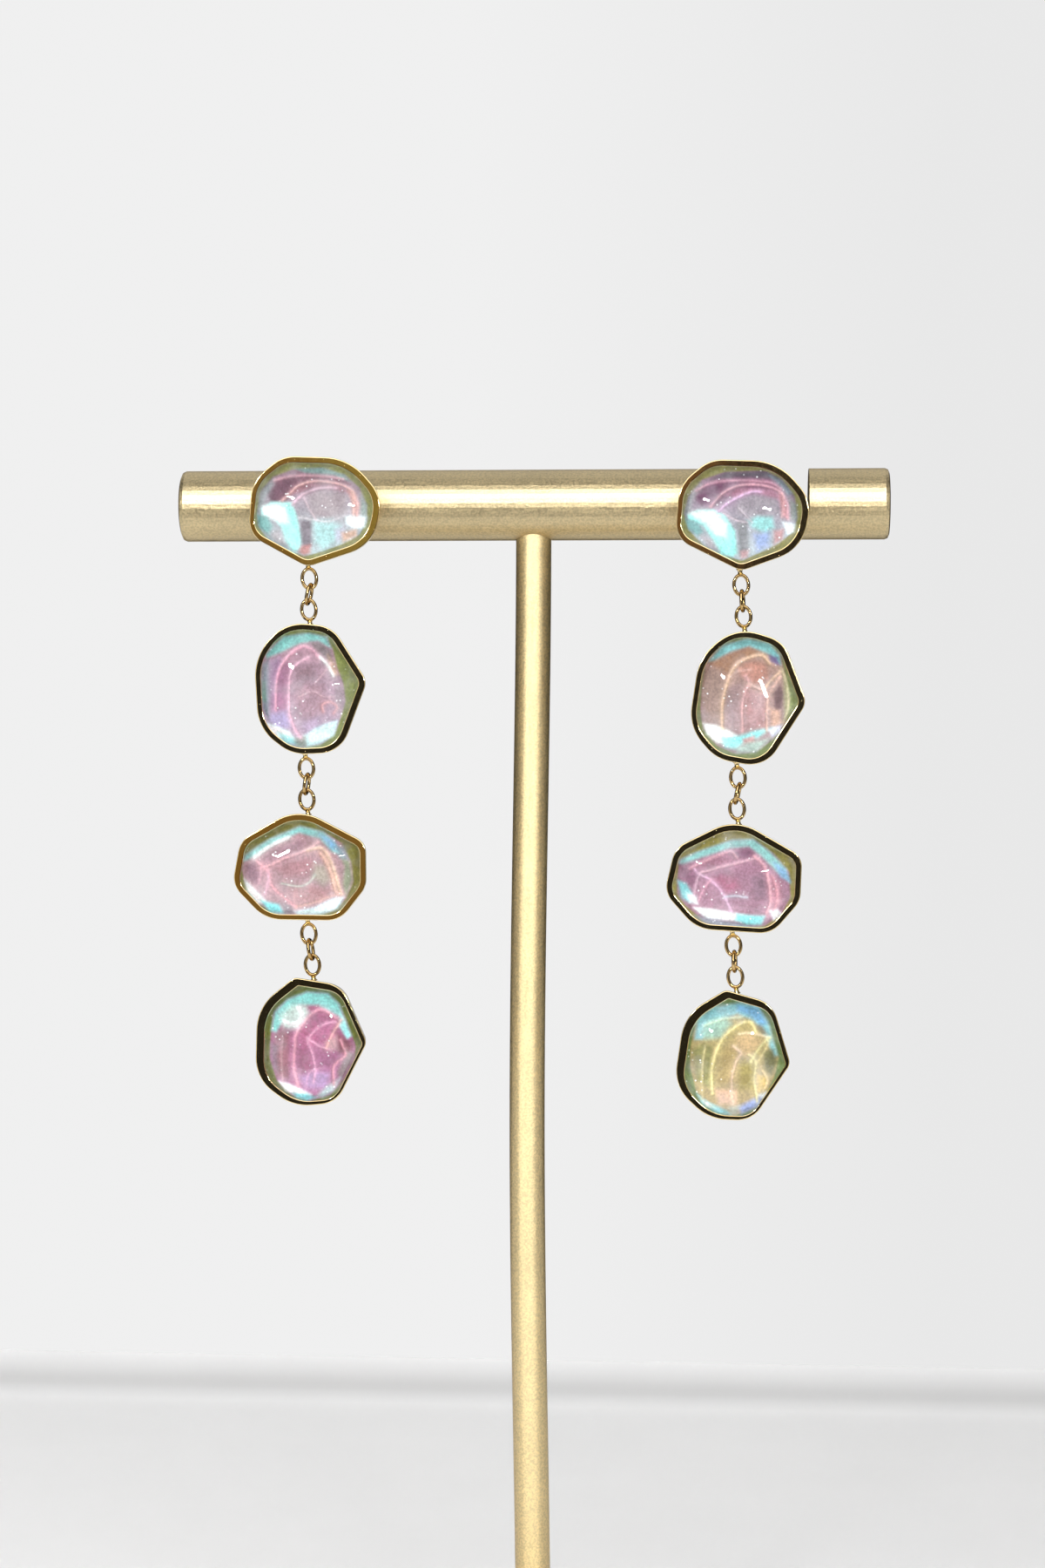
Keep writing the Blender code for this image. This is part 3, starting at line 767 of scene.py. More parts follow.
# Foil colours. The wall colour is a painted reflection of the bezel's gold wall, and the near-white areas and
# lines are painted highlights. Places are in the photograph's pixels, so each area and line lies where the
# camera sees it.
# An area is (colour, softness, strength, corners), a line is (colour, half width, strength, points).
FOILS = {}

FOILS["left", 1] = {
    # painted reflection of the bezel's gold wall, round the stone's edge
    "wall_reflection": (168, 164, 106),
    "field": ((176, 138, 158), (188, 200, 208)),
    "body": [
        (293, 590), (297, 565), (312, 547), (335, 539), (370, 537), (398, 545), (415, 560), (424, 580),
        (424, 600), (415, 615), (395, 625), (370, 634), (350, 640), (330, 633), (305, 618), (294, 605),
    ],
    "areas": [
        ((160, 172, 176), 3.0, 0.8, [(293, 590), (297, 565), (312, 549), (318, 556), (304, 572), (300, 588)]),
        ((138, 178, 176), 1.5, 0.9, [(338, 538), (372, 537), (398, 545), (404, 553), (384, 548), (350, 543)]),
        ((142, 90, 114), 2.5, 0.9, [
            (307, 568), (318, 549), (345, 544), (385, 546), (404, 556), (390, 557), (358, 555), (342, 562),
            (328, 575), (312, 577),
        ]),
        ((180, 116, 132), 2.0, 0.7, [(330, 568), (346, 556), (388, 556), (404, 566), (360, 560), (345, 566)]),
        ((184, 164, 172), 3.0, 0.9, [(354, 568), (370, 562), (398, 566), (402, 590), (378, 596), (360, 592)]),
        ((232, 158, 148), 2.0, 0.8, [(400, 562), (410, 566), (415, 580), (413, 594), (407, 590), (406, 575)]),
        ((158, 176, 172), 2.0, 0.8, [(417, 568), (424, 580), (423, 594), (416, 592)]),
        ((170, 240, 236), 1.6, 0.97, [
            (299, 584), (311, 576), (335, 577), (341, 592), (346, 616), (346, 630), (338, 633), (328, 622),
            (323, 606), (313, 594), (299, 592),
        ]),
        # painted highlight: a white glint of light
        ((250, 255, 255), 3.0, 0.95, [
            (300, 582), (314, 579), (326, 582), (332, 600), (322, 600), (302, 592),
        ]),
        ((128, 190, 188), 2.0, 0.85, [(293, 592), (306, 594), (312, 604), (308, 614), (296, 606)]),
        ((196, 182, 190), 2.5, 0.8, [(309, 612), (320, 608), (326, 624), (330, 632), (314, 622)]),
        ((150, 134, 148), 1.8, 0.9, [(345, 598), (358, 598), (358, 628), (349, 632), (347, 612)]),
        ((214, 138, 136), 2.0, 0.85, [(346, 628), (357, 626), (356, 636), (350, 639), (344, 635)]),
        ((172, 218, 220), 3.5, 0.75, [
            (360, 598), (384, 597), (393, 604), (386, 622), (372, 632), (362, 622),
        ]),
        # painted highlight: a white glint of light
        ((240, 250, 255), 2.0, 0.95, [
            (398, 594), (408, 592), (424, 594), (422, 606), (410, 607), (400, 602),
        ]),
        ((200, 190, 214), 2.5, 0.7, [(386, 608), (398, 606), (398, 618), (388, 622)]),
        ((230, 178, 152), 2.0, 0.8, [(394, 612), (412, 608), (412, 616), (396, 623)]),
    ],
    "lines": [
        ((226, 138, 160), 1.6, 0.8, [(314, 552), (335, 547), (370, 547), (396, 550)]),
        ((242, 160, 158), 1.5, 0.9, [
            (324, 575), (333, 567), (343, 558), (361, 553), (387, 555), (404, 562), (412, 577), (412, 592),
        ]),
        ((238, 176, 204), 1.5, 0.8, [(336, 580), (346, 570), (356, 565), (370, 561), (388, 561)]),
        ((236, 190, 206), 1.2, 0.6, [(350, 572), (356, 584), (364, 597)]),
        ((232, 214, 224), 1.2, 0.7, [(344, 594), (361, 597), (380, 599), (398, 592)]),
        ((244, 172, 150), 1.2, 0.7, [(407, 564), (408, 576), (408, 592)]),
    ],
}

FOILS["right", 1] = {
    # painted reflection of the bezel's gold wall, round the stone's edge
    "wall_reflection": (168, 160, 98),
    "field": ((166, 122, 150), (188, 198, 208)),
    "body": [
        (783, 590), (788, 570), (805, 550), (830, 542), (880, 540), (900, 550), (915, 570), (918, 595),
        (912, 612), (895, 625), (875, 634), (852, 645), (830, 638), (805, 625), (788, 608),
    ],
    "areas": [
        ((164, 170, 172), 3.0, 0.8, [(783, 590), (788, 570), (803, 553), (808, 560), (794, 574), (790, 590)]),
        ((118, 108, 124), 2.0, 0.9, [(808, 552), (832, 543), (882, 541), (898, 549), (880, 550), (830, 550)]),
        ((138, 76, 118), 2.5, 0.9, [
            (797, 570), (811, 554), (845, 548), (885, 550), (900, 562), (872, 562), (848, 565), (832, 572),
            (820, 581), (802, 579),
        ]),
        ((140, 168, 180), 2.5, 0.8, [(884, 545), (900, 551), (912, 566), (906, 570), (896, 558)]),
        ((206, 132, 158), 2.0, 0.6, [(830, 568), (848, 560), (890, 563), (902, 576), (866, 566), (846, 572)]),
        ((178, 164, 176), 3.0, 0.9, [(846, 574), (866, 568), (892, 574), (896, 590), (862, 594), (846, 590)]),
        ((232, 146, 148), 2.0, 0.6, [(896, 566), (905, 578), (908, 596), (900, 594), (897, 578)]),
        ((154, 166, 160), 2.0, 0.8, [(908, 572), (917, 580), (917, 598), (910, 596)]),
        ((156, 236, 230), 1.6, 0.97, [
            (787, 592), (800, 586), (818, 585), (832, 592), (844, 610), (847, 636), (842, 640), (828, 636),
            (818, 620), (806, 604), (789, 597),
        ]),
        # painted highlight: a white glint of light
        ((252, 255, 255), 3.5, 0.97, [
            (790, 590), (804, 586), (820, 589), (834, 602), (832, 616), (822, 614), (808, 600),
        ]),
        ((120, 178, 180), 2.0, 0.85, [(784, 596), (800, 600), (806, 610), (800, 616), (788, 608)]),
        ((190, 172, 182), 2.5, 0.8, [(802, 614), (814, 618), (824, 634), (812, 628)]),
        ((150, 148, 154), 1.8, 0.9, [(846, 600), (858, 600), (860, 632), (850, 640), (848, 616)]),
        ((150, 218, 218), 2.6, 0.85, [
            (858, 598), (870, 593), (888, 594), (890, 606), (880, 612), (864, 606),
        ]),
        ((158, 178, 234), 3.5, 0.85, [(866, 614), (884, 612), (884, 628), (870, 634)]),
        # painted highlight: a white glint of light
        ((238, 248, 255), 1.8, 0.95, [(900, 600), (916, 602), (914, 612), (906, 614)]),
        ((216, 146, 150), 2.0, 0.7, [(850, 634), (860, 632), (858, 641), (851, 643)]),
        ((222, 150, 150), 2.0, 0.7, [(890, 610), (902, 608), (900, 620), (890, 626)]),
    ],
    "lines": [
        ((224, 122, 158), 1.6, 0.8, [(798, 563), (818, 554), (848, 552), (884, 554), (898, 562)]),
        ((240, 146, 168), 1.5, 0.85, [
            (815, 582), (830, 566), (848, 558), (872, 557), (894, 563), (905, 578), (906, 596),
        ]),
        ((240, 176, 232), 1.6, 0.85, [(824, 588), (834, 579), (848, 571), (864, 565), (874, 565)]),
        ((232, 196, 214), 1.2, 0.7, [(830, 590), (846, 598), (858, 600)]),
        ((236, 206, 226), 1.2, 0.6, [(848, 584), (856, 592), (864, 600)]),
        ((240, 150, 150), 1.2, 0.6, [(900, 566), (901, 580), (899, 594)]),
    ],
}

FOILS["left", 2] = {
    # painted reflection of the bezel's gold wall, round the stone's edge
    "wall_reflection": (148, 154, 86),
    "field": ((186, 142, 158), (184, 160, 182)),
    "body": [
        (301, 747), (325, 728), (355, 724), (376, 729), (383, 745), (388, 765), (396, 785), (398, 805),
        (392, 825), (385, 845), (370, 857), (345, 861), (325, 855), (305, 840), (300, 815), (299, 780),
    ],
    "areas": [
        ((138, 206, 202), 1.8, 0.95, [
            (303, 750), (325, 728), (355, 724), (376, 729), (380, 742), (366, 734), (345, 737), (326, 746),
            (306, 754),
        ]),
        ((150, 136, 140), 2.0, 0.85, [
            (356, 735), (368, 736), (380, 746), (384, 762), (372, 752), (362, 744),
        ]),
        ((164, 124, 164), 3.0, 0.85, [
            (309, 758), (322, 752), (326, 770), (322, 822), (312, 820), (308, 790),
        ]),
        ((134, 156, 168), 2.5, 0.8, [(300, 760), (308, 756), (309, 790), (309, 826), (301, 815)]),
        ((120, 172, 152), 2.0, 0.8, [(300, 780), (305, 782), (306, 806), (300, 806)]),
        ((182, 112, 152), 2.5, 0.7, [(319, 770), (330, 757), (334, 770), (332, 800), (330, 822), (319, 814)]),
        ((160, 122, 136), 4.5, 0.8, [(342, 768), (358, 764), (364, 776), (352, 784), (342, 780)]),
        ((184, 134, 146), 4.0, 0.5, [(338, 786), (372, 786), (378, 810), (360, 826), (340, 826)]),
        ((226, 176, 132), 2.5, 0.6, [(377, 750), (386, 762), (390, 775), (384, 776), (378, 764)]),
        ((170, 152, 160), 2.5, 0.6, [(386, 784), (397, 790), (397, 812), (389, 818), (386, 802)]),
        ((180, 164, 208), 3.0, 0.85, [(311, 820), (330, 816), (334, 836), (322, 838), (308, 830)]),
        # painted highlight: white glow along the stone's lower edge
        ((238, 252, 255), 2.2, 0.97, [
            (301, 830), (314, 834), (332, 841), (340, 852), (326, 853), (311, 843), (302, 838),
        ]),
        ((150, 226, 230), 2.5, 0.8, [(318, 842), (336, 848), (344, 858), (326, 856)]),
        # painted highlight: pale glow along the stone's lower edge
        ((208, 244, 248), 2.4, 0.95, [
            (350, 846), (364, 836), (388, 829), (384, 846), (368, 856), (352, 860),
        ]),
        ((150, 168, 152), 2.5, 0.8, [(338, 850), (352, 846), (352, 860), (342, 861)]),
        ((196, 168, 202), 2.5, 0.6, [(348, 832), (366, 824), (370, 834), (352, 844)]),
    ],
    "lines": [
        ((242, 140, 178), 1.7, 0.85, [
            (317, 816), (318, 786), (322, 767), (333, 751), (347, 741), (360, 745), (367, 755),
        ]),
        ((246, 166, 200), 1.6, 0.9, [
            (346, 849), (339, 838), (333, 818), (333, 790), (335, 771), (343, 761), (355, 754),
        ]),
        ((236, 170, 192), 1.4, 0.6, [(362, 785), (374, 771), (380, 760)]),
        ((230, 132, 136), 1.6, 0.75, [(372, 818), (371, 810), (380, 806), (388, 812), (384, 820)]),
        ((214, 152, 168), 1.4, 0.5, [(344, 800), (360, 794), (372, 800), (384, 800)]),
        # painted highlight: a white streak of reflected light, also raised as a ridge
        ((250, 250, 252), 1.6, 0.9, [(369, 754), (377, 763), (384, 776)]),
    ],
}

FOILS["right", 2] = {
    # painted reflection of the bezel's gold wall, round the stone's edge
    "wall_reflection": (146, 156, 98),
    "field": ((188, 146, 134), (184, 156, 162)),
    "body": [
        (805, 790), (810, 756), (830, 738), (858, 730), (885, 736), (897, 750), (903, 775), (908, 805),
        (903, 830), (888, 850), (868, 866), (845, 868), (822, 858), (806, 838), (803, 815),
    ],
    "areas": [
        ((140, 206, 212), 1.8, 0.95, [
            (812, 758), (830, 738), (858, 730), (885, 736), (896, 750), (897, 762), (884, 750), (860, 740),
            (838, 747), (820, 757),
        ]),
        ((190, 136, 104), 3.0, 0.8, [(814, 760), (838, 749), (860, 742), (880, 750), (848, 758), (834, 774)]),
        ((176, 144, 134), 3.5, 0.7, [(807, 770), (830, 765), (832, 800), (828, 834), (810, 830), (806, 800)]),
        ((126, 106, 170), 1.6, 0.9, [(883, 750), (893, 753), (895, 762), (885, 758)]),
        ((226, 150, 132), 3.0, 0.6, [(846, 766), (862, 756), (880, 762), (884, 780), (866, 784), (852, 776)]),
        ((172, 138, 144), 3.0, 0.7, [(832, 790), (850, 784), (850, 832), (832, 834)]),
        ((204, 146, 150), 3.0, 0.7, [(856, 792), (880, 794), (880, 836), (856, 838)]),
        ((138, 102, 108), 2.0, 0.9, [(889, 796), (896, 785), (901, 796), (898, 812), (890, 816)]),
        ((170, 170, 130), 2.0, 0.8, [(900, 770), (906, 790), (907, 816), (902, 826), (901, 800)]),
        ((236, 184, 160), 2.5, 0.7, [(884, 812), (896, 816), (898, 832), (886, 838)]),
        # painted highlight: white glow along the stone's lower edge
        ((246, 255, 255), 2.2, 0.97, [
            (807, 832), (822, 834), (836, 840), (846, 846), (836, 856), (822, 854), (810, 844),
        ]),
        ((140, 228, 232), 2.2, 0.92, [
            (826, 848), (848, 846), (868, 840), (888, 836), (870, 848), (856, 852), (846, 862), (832, 860),
        ]),
        # painted highlight: pale glow along the stone's lower edge
        ((224, 226, 250), 2.0, 0.9, [(882, 838), (899, 832), (896, 843), (886, 848)]),
        ((240, 164, 164), 1.8, 0.8, [(853, 850), (866, 846), (866, 853), (854, 855)]),
        ((172, 198, 190), 3.0, 0.85, [(846, 860), (858, 854), (884, 850), (868, 866), (846, 867)]),
    ],
    "lines": [
        ((250, 190, 136), 1.7, 0.85, [
            (829, 838), (829, 812), (836, 780), (846, 762), (862, 753), (876, 751), (884, 760),
        ]),
        ((246, 164, 170), 1.8, 0.85, [(853, 840), (852, 814), (856, 794), (860, 784), (856, 776)]),
        ((250, 180, 160), 1.6, 0.8, [(880, 840), (881, 812), (884, 796), (896, 776)]),
        ((252, 196, 150), 1.4, 0.8, [(876, 794), (884, 782), (896, 770)]),
        ((236, 178, 160), 1.4, 0.6, [(858, 784), (870, 790), (880, 794)]),
        ((240, 182, 172), 1.2, 0.5, [(836, 778), (848, 770), (862, 768)]),
        ((226, 206, 140), 1.2, 0.7, [(898, 766), (904, 786), (906, 810), (900, 830)]),
    ],
}

FOILS["left", 3] = {
    # painted reflection of the bezel's gold wall, round the stone's edge
    "wall_reflection": (146, 138, 66),
    "field": ((196, 150, 160), (198, 160, 170)),
    "body": [
        (275, 998), (279, 981), (310, 962), (345, 947), (372, 954), (395, 968), (406, 990), (408, 1012),
        (400, 1032), (385, 1046), (355, 1052), (315, 1050), (295, 1038), (280, 1017),
    ],
    "areas": [
        ((144, 208, 208), 1.8, 0.95, [
            (277, 988), (279, 981), (310, 962), (345, 947), (372, 954), (386, 966), (396, 982), (384, 978),
            (368, 962), (344, 955), (314, 968), (284, 986),
        ]),
        ((138, 188, 238), 2.5, 0.85, [(368, 957), (384, 964), (392, 976), (382, 974)]),
        ((150, 164, 132), 2.0, 0.85, [
            (392, 980), (404, 988), (407, 1010), (400, 1030), (396, 1014), (398, 994),
        ]),
        ((150, 170, 186), 2.5, 0.8, [(386, 972), (398, 972), (403, 986), (392, 984)]),
        ((190, 146, 162), 3.0, 0.7, [(286, 990), (318, 974), (344, 962), (356, 972), (330, 982), (302, 996)]),
        ((168, 126, 146), 2.5, 0.8, [(280, 994), (292, 990), (298, 1002), (296, 1016), (284, 1010)]),
        ((196, 134, 144), 4.0, 0.6, [(314, 996), (346, 984), (362, 990), (356, 1004), (330, 1006)]),
        ((178, 172, 154), 4.0, 0.7, [(362, 992), (376, 992), (382, 1010), (372, 1018), (360, 1006)]),
        ((196, 138, 142), 4.0, 0.7, [(326, 1012), (356, 1016), (384, 1022), (370, 1036), (340, 1034)]),
        ((224, 172, 142), 2.5, 0.5, [
            (366, 974), (378, 980), (390, 1006), (394, 1026), (384, 1022), (380, 1000),
        ]),
        # painted highlight: white glow along the stone's lower edge
        ((238, 253, 255), 2.2, 0.95, [(279, 1010), (292, 1022), (304, 1034), (296, 1039), (282, 1024)]),
        ((134, 228, 236), 2.0, 0.92, [(298, 1034), (320, 1038), (326, 1049), (308, 1048)]),
        ((158, 148, 160), 2.0, 0.85, [(324, 1036), (338, 1040), (338, 1051), (326, 1050)]),
        # painted highlight: pale glow along the stone's lower edge
        ((214, 242, 255), 2.2, 0.95, [
            (338, 1046), (362, 1042), (384, 1032), (397, 1030), (390, 1044), (370, 1050), (342, 1051),
        ]),
    ],
    "lines": [
        ((248, 160, 174), 1.6, 0.85, [(299, 997), (328, 985), (356, 974), (366, 966)]),
        ((250, 196, 156), 1.7, 0.8, [(354, 976), (370, 973), (381, 986), (388, 1006), (394, 1027)]),
        ((250, 176, 150), 1.4, 0.7, [(370, 980), (378, 992), (384, 1010), (388, 1026)]),
        ((248, 146, 166), 1.7, 0.85, [(294, 988), (308, 1001), (312, 1016), (326, 1030), (340, 1041)]),
        ((240, 160, 196), 1.5, 0.7, [(304, 1027), (307, 1014), (308, 1001)]),
        ((238, 156, 184), 1.4, 0.6, [(296, 1014), (299, 1004), (300, 997)]),
        ((196, 210, 196), 1.2, 0.7, [(324, 1014), (344, 1017), (356, 1013), (363, 1004)]),
        ((236, 160, 140), 1.3, 0.6, [(340, 1041), (362, 1036), (380, 1030), (394, 1026)]),
        # painted highlight: a white streak of reflected light, also raised as a ridge
        ((252, 252, 254), 2.0, 0.95, [(291, 984), (304, 975), (318, 967), (332, 961)]),
    ],
}

FOILS["right", 3] = {
    # painted reflection of the bezel's gold wall, round the stone's edge
    "wall_reflection": (166, 154, 84),
    "field": ((188, 134, 160), (184, 136, 158)),
    "body": [
        (775, 1012), (777, 986), (800, 977), (840, 963), (865, 962), (890, 980), (908, 1000), (910, 1030),
        (900, 1050), (880, 1064), (845, 1066), (810, 1060), (785, 1040), (775, 1026),
    ],
    "areas": [
        ((150, 210, 208), 1.8, 0.95, [
            (776, 990), (780, 985), (800, 977), (840, 963), (865, 962), (886, 978), (904, 996), (910, 1014),
            (898, 1004), (876, 984), (860, 971), (838, 973), (808, 983), (782, 991),
        ]),
        ((146, 186, 234), 2.5, 0.85, [(890, 990), (904, 997), (910, 1012), (898, 1006)]),
        ((162, 104, 136), 3.5, 0.8, [(780, 994), (796, 990), (802, 1004), (796, 1020), (784, 1012)]),
        ((146, 94, 128), 3.0, 0.8, [(838, 978), (862, 974), (878, 990), (868, 986), (850, 984)]),
        ((182, 118, 142), 3.0, 0.6, [(806, 988), (842, 978), (846, 986), (812, 998)]),
        ((150, 118, 138), 3.0, 0.6, [(862, 1006), (878, 1002), (882, 1030), (868, 1034)]),
        ((190, 98, 132), 4.0, 0.6, [(818, 1006), (840, 1002), (850, 1018), (834, 1026), (824, 1016)]),
        ((202, 134, 152), 3.0, 0.6, [(884, 1004), (898, 1012), (900, 1034), (890, 1046), (884, 1030)]),
        ((126, 204, 210), 2.0, 0.92, [(775, 1010), (786, 1014), (794, 1026), (790, 1036), (780, 1030)]),
        # painted highlight: pale glow along the stone's lower edge
        ((228, 246, 250), 2.0, 0.8, [(786, 1024), (798, 1028), (800, 1038), (790, 1036)]),
        # painted highlight: white glow along the stone's lower edge
        ((244, 255, 255), 1.8, 0.97, [
            (795, 1042), (820, 1044), (850, 1049), (866, 1052), (862, 1058), (838, 1056), (810, 1054),
        ]),
        ((132, 226, 230), 1.8, 0.92, [(846, 1049), (880, 1052), (876, 1062), (858, 1062), (844, 1056)]),
        ((168, 182, 200), 2.5, 0.85, [
            (796, 1052), (824, 1056), (850, 1060), (862, 1065), (830, 1065), (806, 1060),
        ]),
        # painted highlight: pale glow along the stone's lower edge
        ((240, 246, 255), 1.8, 0.95, [(884, 1046), (894, 1044), (900, 1050), (890, 1058)]),
    ],
    "lines": [
        ((242, 172, 220), 1.6, 0.9, [(796, 997), (802, 1003), (815, 1010), (828, 1023), (840, 1046)]),
        ((232, 170, 200), 1.4, 0.8, [(802, 1003), (798, 1015), (795, 1027)]),
        ((236, 140, 176), 1.4, 0.7, [(815, 1010), (806, 1022), (801, 1034)]),
        ((240, 150, 172), 1.6, 0.75, [(790, 996), (816, 985), (838, 977), (846, 984)]),
        ((236, 164, 186), 1.5, 0.75, [(804, 1001), (836, 993), (872, 984)]),
        ((240, 146, 166), 1.7, 0.85, [(866, 982), (879, 995), (884, 1015), (886, 1035), (881, 1050)]),
        ((236, 130, 152), 1.4, 0.7, [(888, 1004), (893, 1020), (894, 1036), (889, 1047)]),
        ((200, 220, 236), 1.4, 0.6, [(832, 1029), (845, 1028), (858, 1030)]),
    ],
}

FOILS["left", 4] = {
    # painted reflection of the bezel's gold wall, round the stone's edge
    "wall_reflection": (126, 132, 62),
    "field": ((190, 108, 146), (184, 116, 158)),
    "body": [
        (311, 1192), (314, 1160), (330, 1145), (352, 1136), (378, 1138), (390, 1150), (400, 1175),
        (410, 1200),
        (408, 1216), (395, 1240), (380, 1259), (355, 1266), (335, 1259), (318, 1241), (310, 1215),
    ],
    "areas": [
        ((138, 214, 210), 2.0, 0.95, [
            (312, 1182), (315, 1160), (330, 1145), (352, 1136), (378, 1138), (390, 1150), (396, 1168),
            (384, 1162), (366, 1152), (344, 1152), (328, 1166), (318, 1184),
        ]),
        ((190, 208, 202), 3.0, 0.9, [
            (322, 1164), (334, 1152), (352, 1152), (356, 1162), (344, 1180), (326, 1180),
        ]),
        ((162, 230, 232), 1.6, 0.95, [(391, 1160), (397, 1168), (405, 1189), (400, 1193), (390, 1176)]),
        ((170, 108, 120), 2.5, 0.85, [(315, 1188), (326, 1178), (333, 1186), (332, 1240), (318, 1236)]),
        ((148, 140, 150), 2.5, 0.6, [(311, 1196), (319, 1200), (320, 1232), (313, 1226)]),
        ((196, 96, 140), 3.5, 0.7, [(346, 1180), (362, 1172), (372, 1180), (360, 1200), (348, 1206)]),
        ((172, 100, 130), 3.5, 0.7, [(344, 1206), (358, 1208), (360, 1234), (346, 1236)]),
        ((206, 112, 156), 3.0, 0.6, [(362, 1178), (380, 1176), (384, 1190), (372, 1198), (362, 1192)]),
        ((152, 88, 100), 2.5, 0.9, [(388, 1186), (398, 1192), (407, 1200), (400, 1210), (390, 1206)]),
        ((150, 136, 134), 2.5, 0.85, [(400, 1206), (409, 1208), (404, 1222), (392, 1240), (388, 1232)]),
        ((216, 176, 176), 2.5, 0.7, [(374, 1196), (388, 1188), (390, 1204), (380, 1206)]),
        ((188, 152, 202), 3.5, 0.85, [(344, 1236), (362, 1230), (380, 1232), (376, 1250), (350, 1250)]),
        # painted highlight: white glow along the stone's lower edge
        ((244, 253, 255), 2.0, 0.97, [
            (320, 1242), (330, 1244), (344, 1250), (358, 1258), (344, 1260), (328, 1254),
        ]),
        ((130, 218, 226), 2.0, 0.92, [(336, 1256), (352, 1256), (364, 1262), (352, 1266), (340, 1262)]),
        ((176, 206, 206), 2.5, 0.8, [(376, 1248), (392, 1238), (384, 1254), (372, 1262), (364, 1260)]),
    ],
    "lines": [
        ((244, 134, 168), 2.0, 0.85, [
            (343, 1247), (338, 1224), (340, 1200), (341, 1187), (353, 1168), (370, 1157), (388, 1168),
        ]),
        ((238, 142, 190), 1.6, 0.75, [
            (361, 1243), (363, 1226), (359, 1206), (355, 1192), (372, 1175), (386, 1172),
        ]),
        ((240, 146, 190), 1.6, 0.75, [(354, 1191), (366, 1199), (380, 1204)]),
        ((248, 156, 152), 1.5, 0.85, [(376, 1202), (384, 1184), (393, 1169)]),
        ((238, 120, 150), 1.5, 0.8, [(384, 1246), (384, 1224), (398, 1210), (392, 1194)]),
        ((228, 130, 190), 1.4, 0.6, [(352, 1250), (356, 1232), (372, 1226)]),
        ((200, 130, 140), 1.3, 0.6, [(325, 1244), (324, 1216), (326, 1190)]),
        # painted highlight: a C-shaped white reflection of light, also raised as a ridge
        ((254, 254, 254), 2.0, 0.97, [(343, 1155), (348, 1162), (345, 1171), (336, 1175), (327, 1171)]),
    ],
}

FOILS["right", 4] = {
    # painted reflection of the bezel's gold wall, round the stone's edge
    "wall_reflection": (132, 150, 90),
    "field": ((196, 172, 116), (192, 164, 120)),
    "body": [
        (792, 1202), (799, 1167), (820, 1153), (850, 1148), (872, 1153), (884, 1175), (895, 1215),
        (890, 1236),
        (880, 1256), (865, 1275), (840, 1284), (815, 1275), (799, 1255), (792, 1226),
    ],
    "areas": [
        ((146, 206, 220), 2.0, 0.95, [
            (797, 1192), (800, 1168), (820, 1153), (850, 1148), (872, 1153), (884, 1175), (894, 1211),
            (889, 1214), (880, 1190), (866, 1170), (846, 1162), (826, 1170), (806, 1192),
        ]),
        ((130, 184, 236), 2.5, 0.85, [
            (846, 1151), (872, 1155), (882, 1172), (874, 1176), (862, 1164), (846, 1158),
        ]),
        ((176, 212, 200), 3.0, 0.9, [
            (804, 1184), (812, 1170), (834, 1164), (840, 1174), (828, 1190), (810, 1192),
        ]),
        ((148, 128, 104), 2.0, 0.9, [(866, 1173), (876, 1176), (882, 1187), (870, 1184)]),
        ((156, 152, 92), 2.5, 0.85, [(795, 1204), (808, 1196), (818, 1200), (815, 1250), (799, 1240)]),
        ((196, 164, 104), 3.5, 0.6, [(828, 1204), (846, 1192), (844, 1240), (826, 1244)]),
        ((226, 186, 142), 3.0, 0.8, [(844, 1190), (862, 1184), (876, 1194), (864, 1214), (850, 1210)]),
        ((180, 160, 84), 3.0, 0.7, [(850, 1216), (866, 1220), (866, 1250), (848, 1252)]),
        ((130, 126, 82), 2.5, 0.9, [(877, 1206), (888, 1204), (894, 1220), (886, 1234), (878, 1226)]),
        ((240, 198, 104), 2.5, 0.85, [(869, 1232), (880, 1236), (880, 1250), (870, 1254)]),
        ((242, 190, 164), 3.0, 0.85, [(818, 1250), (846, 1252), (846, 1268), (826, 1268)]),
        ((156, 222, 240), 2.0, 0.95, [
            (799, 1256), (812, 1266), (834, 1276), (840, 1283), (822, 1280), (804, 1268),
        ]),
        # painted highlight: white glow along the stone's lower edge
        ((240, 252, 255), 1.6, 0.9, [(800, 1258), (812, 1266), (822, 1274), (810, 1272)]),
        ((160, 178, 240), 2.5, 0.92, [(848, 1272), (866, 1262), (880, 1256), (870, 1272), (852, 1281)]),
        # painted highlight: pale glow along the stone's lower edge
        ((238, 240, 250), 1.6, 0.9, [(870, 1258), (880, 1254), (877, 1263)]),
        ((186, 196, 190), 2.0, 0.7, [(836, 1272), (850, 1270), (846, 1282), (838, 1282)]),
    ],
    "lines": [
        ((252, 222, 120), 1.9, 0.9, [
            (818, 1256), (817, 1230), (824, 1203), (832, 1189), (848, 1175), (862, 1172), (869, 1184),
        ]),
        ((248, 194, 152), 1.9, 0.85, [(842, 1268), (840, 1240), (845, 1218), (850, 1208), (842, 1200)]),
        ((246, 206, 150), 1.5, 0.8, [(848, 1186), (864, 1185), (884, 1190)]),
        ((246, 226, 130), 1.5, 0.85, [(862, 1218), (873, 1201), (884, 1190)]),
        ((240, 210, 120), 1.3, 0.7, [(868, 1221), (878, 1206), (883, 1194)]),
        ((246, 220, 120), 1.5, 0.8, [(869, 1266), (866, 1240), (868, 1220), (860, 1210)]),
        ((232, 200, 110), 1.4, 0.7, [(806, 1262), (806, 1230), (810, 1200)]),
        ((226, 240, 200), 1.2, 0.7, [(808, 1176), (830, 1168), (852, 1166)]),
        ((250, 206, 120), 1.3, 0.7, [(876, 1228), (881, 1240), (876, 1254)]),
    ],
}


